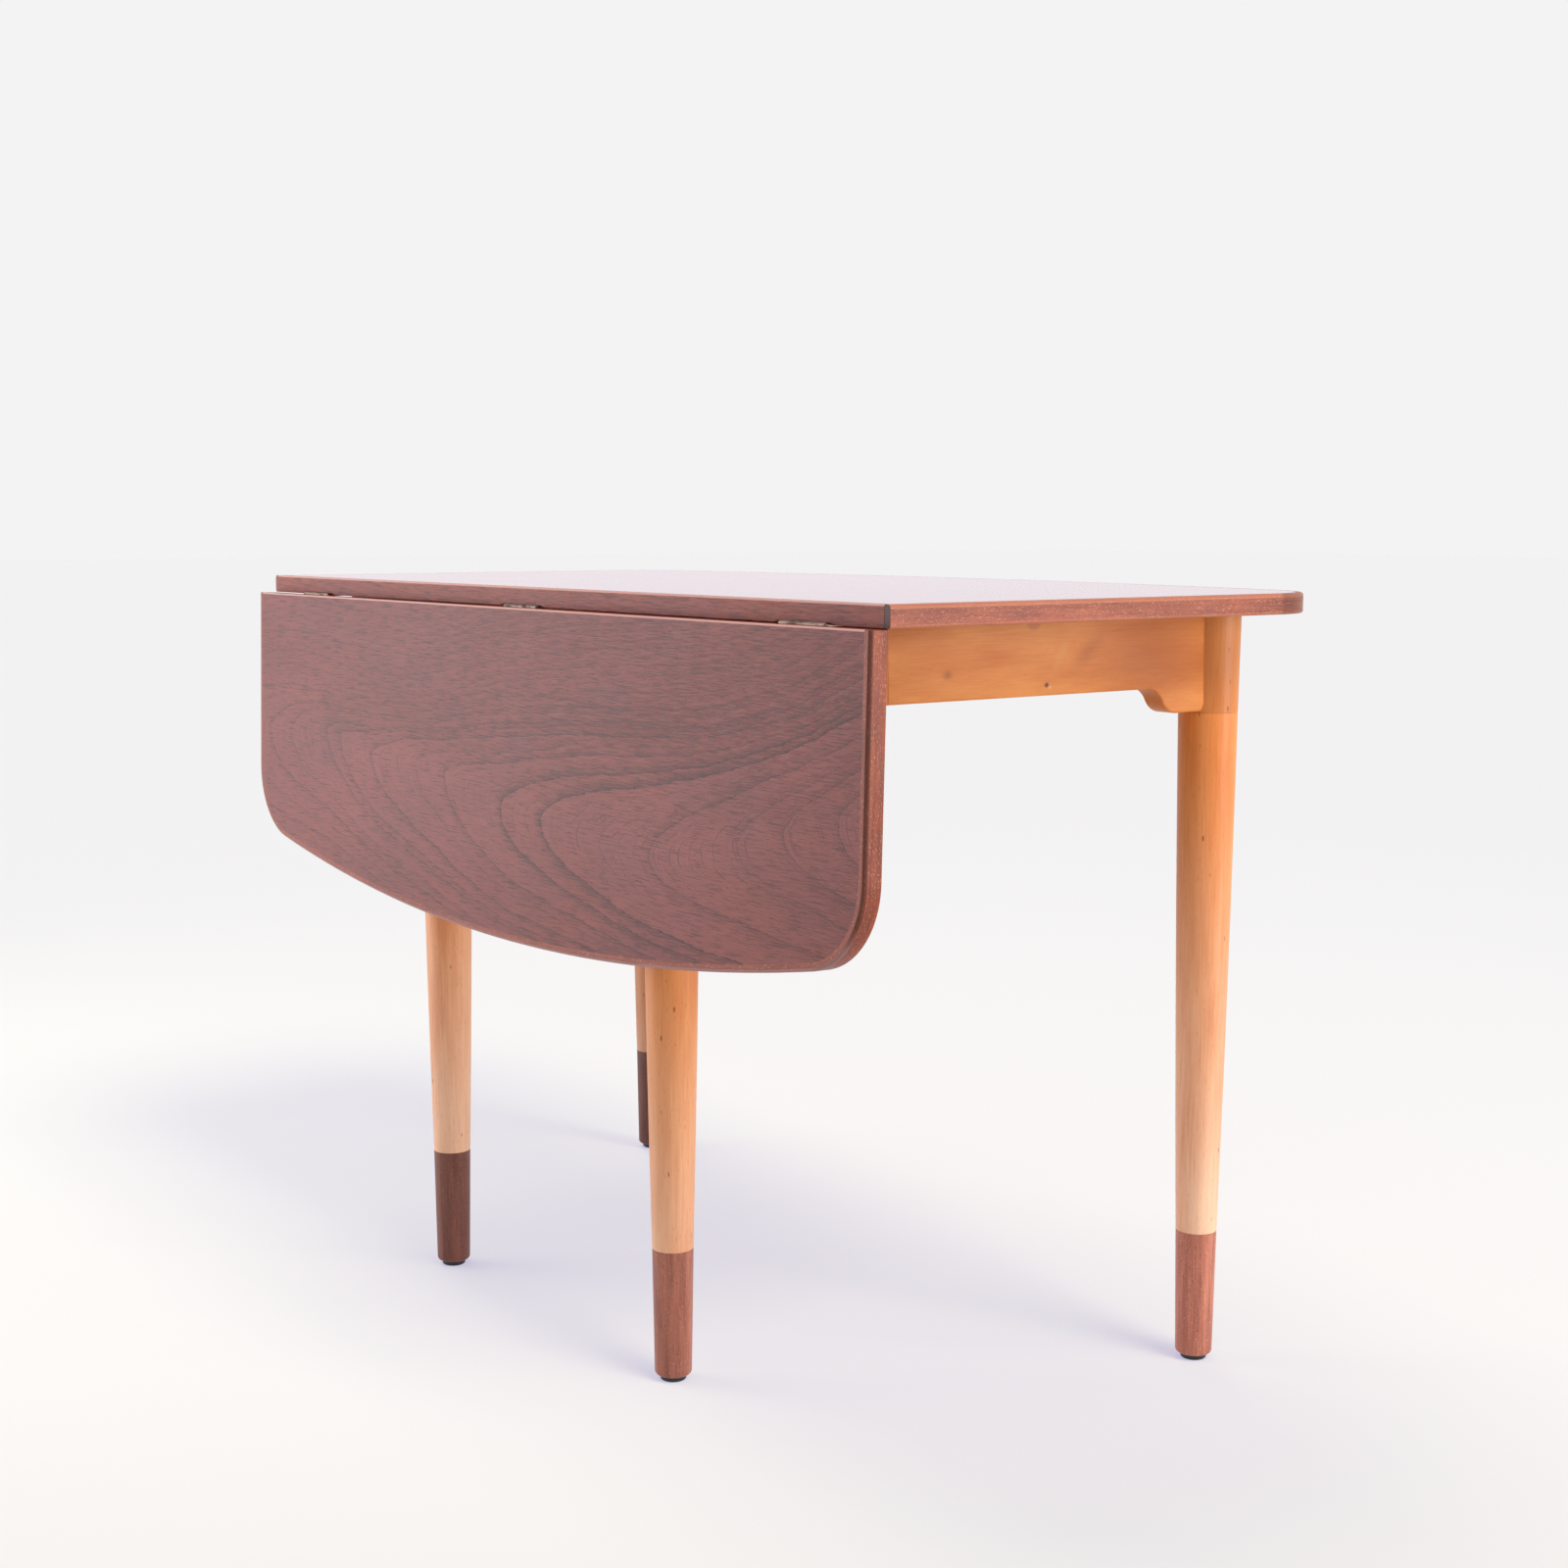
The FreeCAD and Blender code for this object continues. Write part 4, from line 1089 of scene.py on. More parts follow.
@dataclass(frozen=True)
class CrownFigure:
    """The growth lines of a crown-cut sheet, as nested arches round a crown line.

    An arch is known by the place of its tip on the crown. A point beside the crown belongs to the
    arch whose tip lies reach times q squared towards -X, where q is the point's distance from the
    crown as a share of the way to the shoulder on its side. Past the near shoulder the lines run
    along it at an even spacing. All lengths are millimetres.

    Attributes:
        crown: depth of the crown along x.
        near_shoulder, far_shoulder: depth of the shoulder on each side along x.
        near_reach, far_reach: how far the arches run out on each side, along x.
        tips: place and strength of each arch that can be told apart.
        arch_spacing: distance between tips past the ends of that list.
        flank_spacing: distance between lines past the near shoulder.
        faint: strength of the lines that aren't listed.
        smoothing: half the length over which the polylines are smoothed.
    """

    crown: Polyline
    near_shoulder: Polyline
    far_shoulder: Polyline
    near_reach: Polyline
    far_reach: Polyline
    tips: Polyline
    arch_spacing: float = 68.0
    flank_spacing: float = 7.5
    faint: float = 0.4
    smoothing: float = 24.0

    def line(self, points: Polyline, x: Array) -> Array:
        """A smoothed polyline: the mean of nine copies shifted along x.

        Args:
            points: the polyline's (x, depth) points.
            x: places along the board.

        Returns:
            The depth at each place.
        """
        xs, depths = np.array(points).T
        shifts = np.linspace(-self.smoothing, self.smoothing, 9)
        return np.mean([np.interp(x + shift, xs, depths) for shift in shifts], axis=0)

    def ring(self, x: Array, depth: Array) -> Array:
        """Ring number, whole on the arches of the list.

        Args:
            x: places along the sheet.
            depth: places across it.

        Returns:
            The ring number at each place.
        """
        crown = self.line(self.crown, x)
        near = self.line(self.near_shoulder, x)
        far = self.line(self.far_shoulder, x)
        above = np.clip((crown - depth) / (crown - near), 0, 1) ** 2 * self.line(self.near_reach, x)
        below = np.maximum((depth - crown) / (far - crown), 0) ** 2 * self.line(self.far_reach, x)
        flank = np.maximum(near - depth, 0) * self.arch_spacing / self.flank_spacing
        tip = x - above - below - flank
        places = np.array([place for place, _ in self.tips])
        inside = np.interp(tip, places, np.arange(len(places)))
        before = np.minimum(tip - places[0], 0) / self.arch_spacing
        after = np.maximum(tip - places[-1], 0) / self.arch_spacing
        return inside + before + after

    def marks(self, x: Array, depth: Array) -> dict[str, Array]:
        """The numbers that the finish needs.

        "growth" is the ring number and "spread" the rings in a millimetre there, by differences
        over one millimetre; "strength" belongs to the nearest arch, and a line that isn't listed
        is faint by 0.75 + 0.25 sin 2.4 n; "shoulder" is the distance past the near shoulder in
        centimetres.

        Args:
            x: places along the sheet.
            depth: places across it.

        Returns:
            The four numbers at each place.
        """
        ring = self.ring(x, depth)
        along = self.ring(x + 0.5, depth) - self.ring(x - 0.5, depth)
        across = self.ring(x, depth + 0.5) - self.ring(x, depth - 0.5)
        number = np.rint(ring).astype(int)
        strengths = np.array([strength for _, strength in self.tips])
        listed = (number >= 0) & (number < len(strengths))
        other = self.faint * (0.75 + 0.25 * np.sin(number * 2.4))
        strength = np.where(listed, strengths[np.clip(number, 0, len(strengths) - 1)], other)
        shoulder = (depth - self.line(self.near_shoulder, x)) / 10
        spread = np.hypot(along, across)
        return {"growth": ring, "spread": spread, "strength": strength, "shoulder": shoulder}


@dataclass(frozen=True)
class Board:
    """A boat-edged board: a veneered panel with solid lippings all round.

    Attributes:
        name: the start of its pieces' names.
        seat, body: where it lies and the body that it rides on.
        depth: from the hinge edge to the furthest point of the bow.
        figures: its sheets of veneer, each from a depth to a depth in millimetres.
        length, thickness: along the hinge line, and through the board.
        bow, corner: radius of the long edge and of the corners.
        lipping: width of the lippings.
        upper_arris, lower_arris, hinge_arris: roundings of the lippings' edges.
        below_upper, above_lower: where the face's first points past the roundings are.
        past_hinge_arris: the same at the hinge edge, as a share of its rounding.
        end_ease, eased_by: length and depth of the bevel at the outer lipping's ends.
        end_start: where the even points of a straight end start.
        knuckle: radius of the groove round a hinge's knuckle.
        pin_offset: how far the pin's centre is from the board's two faces.
        groove_rest: how far past the board's corner the groove reaches where it is least.
        hinges: middles of the hinges along the hinge line.
        half_notch, notch_runout: half the length of a notch, and the length where it fades out.
        corner_end_grain: how much end grain the corner arcs show.
        cut_ends: how much of it the outer lipping's right and left cut ends show.
        rubbed, bow_highlight_share: painted highlight on the arrises, at the ends and along the bow.
        lower_highlight_share: share of that on the lower arris.
        painted_arris_shade: painted shade on the ends' upper arrises, in the end grain's dark colour.
        column_spacing, columns: of the panel's points across the board and along it.
        crowded: share of the corners where the columns crowd.
    """

    name: str
    seat: Seat
    body: Body
    depth: float
    figures: tuple[tuple[float, float, CrownFigure], ...]
    length: float = 1.084
    thickness: float = 0.0185
    bow: float = 2.56
    corner: float = 0.079
    lipping: float = 0.007
    upper_arris: float = 0.003
    lower_arris: float = 0.002
    hinge_arris: float = 0.0011
    below_upper: float = 0.001
    above_lower: float = 0.0008
    past_hinge_arris: float = 1.8
    end_ease: float = 0.00035
    eased_by: float = 0.0007
    end_start: float = 0.004
    knuckle: float = 0.0027
    pin_offset: float = 0.0004
    groove_rest: float = 0.0003
    hinges: Triple = (-0.435, 0.0, 0.435)
    half_notch: float = 0.032
    notch_runout: float = 0.012
    corner_end_grain: float = 0.42
    cut_ends: tuple[float, float] = (1.0, 0.3)
    highlight_share: float = 0.75
    bow_highlight_share: float = 0.7
    lower_highlight_share: float = 0.6
    painted_arris_shade: float = 0.0
    column_spacing: float = 0.0038
    columns: int = 230
    crowded: float = 0.75

    def outline(self, gap: float) -> tuple[Array, Array]:
        """The board's free outline, drawn in by a gap.

        Straight end, corner arc, long bow, corner arc, straight end, all tangent: the corner's
        centre lies where the bow's radius less the corner's reaches it.

        Args:
            gap: how far inside the board's edge it runs.

        Returns:
            Its (x, depth) points from the right end to the left, and its outward directions.
        """
        half = self.length / 2
        reach = half - self.corner
        centre = self.depth - self.bow
        climb = math.sqrt((self.bow - self.corner) ** 2 - reach**2)
        turn = math.atan2(climb, reach)
        corner_depth = centre + climb
        even = np.linspace(self.end_start, corner_depth, END_POINTS)[:-1]
        end = np.concatenate([[0.0, self.end_ease], even])
        right = np.stack([np.full(len(end), half - gap), end], 1)
        bend = np.linspace(0, turn, CORNER_POINTS)
        sweep = np.linspace(turn, math.pi - turn, BOW_POINTS)[1:-1]
        directions = [np.stack([np.cos(a), np.sin(a)], 1) for a in (bend, sweep, math.pi - bend[::-1])]
        centres = ((reach, corner_depth), (0.0, centre), (-reach, corner_depth))
        radii = (self.corner - gap, self.bow - gap, self.corner - gap)
        arcs = [np.array(c) + r * d for c, r, d in zip(centres, radii, directions)]
        left = right[::-1] * MIRRORED
        along = np.array([[1.0, 0.0]])
        normals = [np.repeat(along, len(end), 0), *directions, np.repeat(-along, len(end), 0)]
        return np.concatenate([right, *arcs, left]), np.concatenate(normals)

    def lipping_profile(self) -> Array:
        """Section of the outer lipping, with rounded arrises.

        Returns:
            Its (distance inwards, height) points.
        """
        wide, tall = self.lipping, self.thickness
        up, low = self.upper_arris, self.lower_arris
        return np.concatenate(
            [
                [[wide, tall], [(wide + up) / 2, tall]],
                arc((up, tall - up), up, QUARTER, math.pi, UPPER_STEPS),
                [[0, tall - up - self.below_upper], [0, tall * 0.5], [0, low + self.above_lower]],
                arc((low, low), low, math.pi, 3 * QUARTER, LOWER_STEPS),
                [[(wide + low) / 2, 0], [wide, 0], [wide, tall / 2]],
            ]
        )

    def lipping_grain_and_light(self, profile: Array, normals: Array) -> dict[str, Array]:
        """Where the outer lipping shows end grain, painted shade and a painted highlight.

        End grain shows where the outline turns from the ends to the bow, and on the cut ends. The
        straight ends' upper arris can take painted shade in that dark colour. The arrises take a
        painted highlight, the lower one less, and another amount along the bow.

        Args:
            profile: its section.
            normals: outward directions of the outline.

        Returns:
            The two numbers for each point of each section.
        """
        away = np.abs(normals)
        end_from, end_over = np.array([0.22, 0.0]), np.array([0.1, 0.04])
        turned_from = np.clip((away - end_from) / end_over, 0, 1).prod(axis=1)[:, None]
        near_face = profile[:, 0] < self.upper_arris - SAME
        upper = near_face & (profile[:, 1] > self.thickness - self.upper_arris - SAME)
        lower = near_face & (profile[:, 1] < self.lower_arris + SAME)
        straight = np.clip((away[:, :1] - 0.7) / 0.2, 0, 1)
        end = self.corner_end_grain * turned_from * near_face
        # Painted shade on the straight ends' upper arris, carried in the end grain's colour.
        end = np.maximum(end, self.painted_arris_shade * upper * straight)
        end[0], end[-1] = self.cut_ends
        # Painted highlight on the arrises, by one amount at the ends and another along the bow.
        highlight_share = self.highlight_share + (self.bow_highlight_share - self.highlight_share) * (1 - straight)
        return {"end": end, "arris_highlight": (upper + self.lower_highlight_share * lower) * highlight_share}

    def outer_lipping(self) -> Surface:
        """The lipping's section carried along the outline; its first and last rings are eased.

        Returns:
            The surface.
        """
        path, normals = self.outline(0.0)
        profile = self.lipping_profile()
        box = np.array([self.lipping, self.thickness])
        sections = np.repeat(profile[None], len(path), 0)
        sections[[0, -1]] = box / 2 + (profile - box / 2) * (1 - self.eased_by / box)
        flat = path[:, None] - normals[:, None] * sections[..., :1]
        rings = self.seat.place(flat[..., 0], flat[..., 1], sections[..., 1])
        steps = np.linalg.norm(np.diff(path, axis=0), axis=1)
        along = np.concatenate([[0.0], np.cumsum(steps)]) + self.depth
        return tube(rings, along, perimeter(profile), self.lipping_grain_and_light(profile, normals))

    def notch(self, x: Array) -> Array:
        """Radius of the knuckle groove along x: full under each hinge, tapering out beyond.

        Args:
            x: places along the hinge line.

        Returns:
            The radius at each place.
        """
        away = np.min([np.abs(x - place) for place in self.hinges], axis=0)
        share = np.clip((away - self.half_notch) / self.notch_runout, 0, 1)
        least = self.pin_offset * math.sqrt(2) + self.groove_rest
        return np.maximum(self.knuckle + (self.pin_offset - self.knuckle) * share, least)

    def hinge_lipping(self) -> Surface:
        """The straight lipping along the hinge line, its lower corner cut by the notch.

        The figure of the board runs on over it and folds down its edge. The groove's arc runs
        from the front face, at acos(c / r), to the underside, at asin(c / r), where c is the
        pin's offset from both faces and r the groove's radius.

        Returns:
            The surface.
        """
        half = self.length / 2 - self.lipping
        marks = [half * np.linspace(-1, 1, HINGE_EDGE_POINTS)]
        for place in self.hinges:
            edge = self.half_notch + self.notch_runout * NOTCH_SHARES
            marks += [place - edge, place + edge]
        x = np.unique(np.round(np.concatenate(marks), 6))
        radius, offset = self.notch(x), self.pin_offset
        first, last = np.arccos(offset / radius), np.arcsin(offset / radius)
        angle = first[:, None] + (last - first)[:, None] * np.linspace(0, 1, GROOVE_POINTS)
        groove = np.stack([np.cos(angle), np.sin(angle)], -1) * radius[:, None, None] - offset
        wide, tall, ease = self.lipping, self.thickness, self.hinge_arris
        past = ease * self.past_hinge_arris
        fixed = np.concatenate(
            [
                [[wide, 0.0], [wide, tall], [past, tall]],
                arc((ease, tall - ease), ease, QUARTER, math.pi, HINGE_STEPS),
                [[0.0, tall - past], [0.0, tall / 2]],
            ]
        )
        sections = np.concatenate([groove, np.repeat(fixed[None], len(x), 0)], 1)
        run = np.broadcast_to(x[:, None], sections.shape[:2])
        rings = self.seat.place(run, sections[..., 0], sections[..., 1])
        folded = sections[..., 0] - (tall - sections[..., 1])
        values = self.marks(run / MM, folded / MM)
        # Painted highlight along the arris of the hinge edge.
        values["arris_highlight"] = (np.abs(folded) < ease * 1.01).astype(float)
        whole = tube(rings, x, perimeter(sections[0]), values)
        return self.with_board_uv(whole, run, folded)

    def panel(self) -> Surface:
        """The veneered panel: columns of points across the board, over both faces.

        A column runs over the upper face from the hinge side to the outline's depth at its x,
        and back under the lower face. The columns crowd at the points of the corner arcs.

        Returns:
            The surface.
        """
        path, _ = self.outline(self.lipping)
        half = self.length / 2 - self.lipping
        on_end = np.abs(path[:, 0]) > half - SAME
        start = path[on_end, 1].max()
        rim = np.concatenate([[[-half, start]], path[~on_end][::-1], [[half, start]]])
        inner = half - self.crowded * self.corner
        bends = rim[np.abs(rim[:, 0]) > inner, 0]
        columns = np.concatenate([bends, np.linspace(-inner, inner, self.columns)])
        x = np.unique(np.round(columns, 6))
        reach = np.interp(x, rim[:, 0], rim[:, 1])
        share = np.linspace(0, 1, round(self.depth / self.column_spacing) + 1)
        depth = self.lipping + (reach - self.lipping)[:, None] * share
        both = np.concatenate([depth, depth[:, ::-1]], 1)
        run = np.broadcast_to(x[:, None], both.shape)
        height = np.zeros_like(both)
        height[:, : len(share)] = self.thickness
        values = self.marks(run / MM, both / MM)
        values["upper"] = (height > 0).astype(float)
        rings = self.seat.place(run, both, height)
        whole = tube(rings, x, np.zeros(both.shape[1] + 1), values)
        return self.with_board_uv(whole, run, both)

    def with_board_uv(self, whole: Surface, run: Array, depth: Array) -> Surface:
        """Lay the pattern straight on the faces: u along the board, v across it.

        Args:
            whole: a surface.
            run: place along the board of each of its points.
            depth: place across it.

        Returns:
            The same surface.
        """
        flat = np.stack([run.ravel(), depth.ravel()], 1)
        whole.quad_uv = flat[whole.quads]
        whole.cap_uv = [flat[cap] for cap in whole.caps]
        return whole

    def marks(self, x: Array, depth: Array) -> dict[str, Array]:
        """The finish's numbers from whichever sheet of veneer covers each depth.

        Args:
            x: places along the board, in millimetres.
            depth: places across it, in millimetres.

        Returns:
            The numbers at each place.
        """
        values: dict[str, Array] = {}
        for start, end, figure in self.figures:
            inside = (depth >= start) & (depth <= end)
            for name, value in figure.marks(x, depth - max(start, 0)).items():
                values.setdefault(name, np.zeros_like(depth))[inside] = value[inside]
        return values

    def build(self, finishes: Finishes) -> None:
        """Add the panel and both lippings.

        Args:
            finishes: the table's finishes.
        """
        fixed = self.body is Body.TABLE
        veneer = finishes.top_veneer if fixed else finishes.leaf_veneer
        edge = finishes.edge if fixed else finishes.leaf_veneer
        for piece, surface, finish, slot, node in (
            ("board", self.panel(), veneer, Slot.VENEER, "panel"),
            ("edging", self.outer_lipping(), finishes.lipping[self.body], Slot.LIPPING, "outer_lipping"),
            ("hinge_edging", self.hinge_lipping(), edge, Slot.LIPPING, "hinge_lipping"),
        ):
            add_piece(f"{self.name}_{piece}", surface, finish, self.body, f"{self.name}_{node}")


LEAF_FIGURE = CrownFigure(
    crown=(
        (-541, 152), (-460, 150), (-371, 141), (-341, 147), (-268, 163), (-171, 160), (-114, 167),
        (-4, 192), (69, 195), (246, 208), (350, 190), (440, 165), (541, 142),
    ),
    near_shoulder=((-541, 103), (-155, 103), (-35, 81), (125, 80), (330, 90), (450, 74), (541, 42)),
    far_shoulder=((-541, 300), (-200, 325), (541, 330)),
    near_reach=((-541, 130), (-450, 150), (-340, 350), (-268, 460), (-100, 690), (541, 720)),
    far_reach=((-541, 380), (-340, 620), (0, 560), (160, 680), (541, 700)),
    tips=(
        (-511, 0.5), (-461, 0.35), (-371, 0.55), (-341, 0.5), (-268, 0.65), (-171, 0.3), (-114, 0.6),
        (-4, 0.9), (69, 0.95), (250, 0.55), (379, 0.35), (440, 0.5), (509, 0.55),
    ),
)
TOP_FIGURE = CrownFigure(
    crown=((-541, 150), (-300, 128), (-60, 152), (160, 132), (380, 158), (541, 140)),
    near_shoulder=((-541, 70), (-200, 62), (100, 48), (541, 60)),
    far_shoulder=((-541, 236), (0, 226), (541, 244)),
    near_reach=((-541, 520), (0, 640), (541, 560)),
    far_reach=((-541, 640), (0, 700), (541, 620)),
    tips=(
        (-470, 0.5), (-395, 0.7), (-318, 0.4), (-226, 0.8), (-160, 0.4), (-71, 0.9), (12, 0.6),
        (101, 0.8), (190, 0.4), (250, 0.6), (352, 0.8), (448, 0.5),
    ),
)


# ---------------------------------------------------------------- the stand


@dataclass(frozen=True)
class Plan:
    """Where the frame puts the stand, and the sizes that its parts share.

    Attributes:
        hinge_y: y of the fixed top's hinge edge.
        underside: height of the fixed top's underside.
        leg_x, leg_depth: the far legs from the middle and from the hinge edge.
        swing_x, swing_depth: the near legs from the middle and from the hinge edge.
        gate_gap: room between the top and the near legs.
    """

    hinge_y: float
    underside: float
    leg_x: float = 0.455
    leg_depth: float = 0.4515
    swing_x: float = 0.205
    swing_depth: float = 0.029
    gate_gap: float = 0.007


@dataclass(frozen=True)
class Leg:
    """A turned leg of four pieces: post, tapered leg, dark foot and glide.

    Attributes:
        name: the end of its pieces' names.
        centre, top: x and y of its axis, and height of the post's top.
        foot_tone_and_shade, tone: how light the foot's wood and the beech are, partly as their own
            colour
        and partly as painted shade in the top's shadow and painted light in the sun.
        tan: how far up the painted shading with height its wood is moved.
        post_shade: how light the post is against the leg, as painted shade under the top and rail.
        foot_radius, head_radius: of the taper at the floor and at head_height.
        post_joint: height of the joint between post and leg.
        swell: how much the leg swells in the middle.
        sock_top, sock_edge: height of the foot's top, and rounding of its lower edge.
        glide_height, glide_radius: of the glide.
        glide_edge, glide_ease: rounding of its lower edge, and bevel of its upper one.
        joint_ease: bevel of each turned piece's ends.
    """

    name: str
    centre: tuple[float, float]
    top: float
    foot_tone_and_shade: float = 1.0
    tone: float = 1.0
    tan: float = 0.0
    post_shade: float = 0.80
    foot_radius: float = 0.0169
    head_radius: float = 0.0284
    head_height: float = 0.7015
    post_joint: float = 0.6105
    swell: float = 0.0009
    sock_top: float = 0.124
    sock_edge: float = 0.004
    glide_height: float = 0.005
    glide_radius: float = 0.012
    glide_edge: float = 0.002
    glide_ease: float = 0.0004
    joint_ease: float = 0.0003

    def radius(self, height: Union[float, Array]) -> Union[float, Array]:
        """Radius of the straight taper at a height."""
        return self.foot_radius + (self.head_radius - self.foot_radius) * height / self.head_height

    def stick(self, low: float, high: float) -> Array:
        """Profile of a length of the taper, with both ends eased by a hair.

        Args:
            low: height of its lower end.
            high: height of its upper end.

        Returns:
            Its (radius, height) points.
        """
        ease = self.joint_ease
        z = np.concatenate([[low], np.linspace(low + ease, high - ease, TAPER_POINTS), [high]])
        r = self.radius(z)
        r[[0, -1]] -= ease
        return np.stack([r, z], 1)

    def long_taper(self) -> Array:
        """Profile from foot to post: the taper with a swell of 4 s (1 - s), s from end to end.

        Returns:
            Its (radius, height) points.
        """
        profile = self.stick(self.sock_top, self.post_joint)
        share = (profile[:, 1] - self.sock_top) / (self.post_joint - self.sock_top)
        profile[:, 0] += self.swell * 4 * share * (1 - share)
        return profile

    def sock(self) -> Array:
        """Profile of the foot: a rounded lower edge, then the taper.

        Returns:
            Its (radius, height) points.
        """
        edge, low = self.sock_edge, self.glide_height
        rim = self.radius(low + edge)
        round_off = arc((rim - edge, low + edge), edge, -QUARTER, 0, FOOT_STEPS)
        return np.concatenate([round_off[:-1], self.stick(low + edge, self.sock_top)[1:]])

    def glide(self) -> Array:
        """Profile of the glide: a rounded lower edge, a straight rim and a bevel.

        Returns:
            Its (radius, height) points.
        """
        edge, ease, wide, tall = self.glide_edge, self.glide_ease, self.glide_radius, self.glide_height
        round_off = arc((wide - edge, edge), edge, -QUARTER, 0, GLIDE_STEPS)
        return np.concatenate([round_off, [[wide, tall - ease], [wide - ease, tall]]])

    def build(self, finishes: Finishes) -> None:
        """Add the four pieces.

        Args:
            finishes: the table's finishes.
        """
        wood, post = finishes.beech[Grain.Z], self.stick(self.post_joint, self.top)
        for piece, profile, tone, finish, slot, node in (
            # The post is darker as painted shade under the top's overhang and beside the rail.
            ("post", post, self.post_shade * self.tone, wood, Slot.LEG, "leg_post"),
            ("turned_leg", self.long_taper(), self.tone, wood, Slot.LEG, "leg"),
            ("foot", self.sock(), self.foot_tone_and_shade, finishes.foot, Slot.FOOT, "leg_sock"),
            ("glide", self.glide(), 1.0, finishes.plastic, Slot.PLASTIC, "foot_glide"),
        ):
            surface = turned(profile, self.centre, tone, self.tan)
            add_piece(f"{piece}_{self.name}", surface, finish, Body.TABLE, f"{node}_{self.name}")


@dataclass(frozen=True)
class Legs:
    """The two fixed far legs and the two near legs on their gates, placed by the plan."""

    plan: Plan

    def build(self, finishes: Finishes) -> None:
        """Add the four legs, each toned as its own wood and by painted light and shade.

        Args:
            finishes: the table's finishes.
        """
        plan = self.plan
        far_y, near_y = plan.hinge_y + plan.leg_depth, plan.hinge_y + plan.swing_depth
        top, gate_top = plan.underside, plan.underside - plan.gate_gap
        # Tones are partly each leg's wood, partly painted shade in the top's shadow and painted light in
        # sun.
        for leg in (
            Leg("back_left", (-plan.leg_x, far_y), top, foot_tone_and_shade=0.32, tone=0.71, tan=0.2),
            Leg("back_right", (plan.leg_x, far_y), top, foot_tone_and_shade=1.15, tone=1.08),
            Leg("swing_left", (-plan.swing_x, near_y), gate_top, foot_tone_and_shade=0.42, tan=0.03),
            Leg("swing_right", (plan.swing_x, near_y), gate_top, 0.80, 0.94, 0.14),
        ):
            leg.build(finishes)


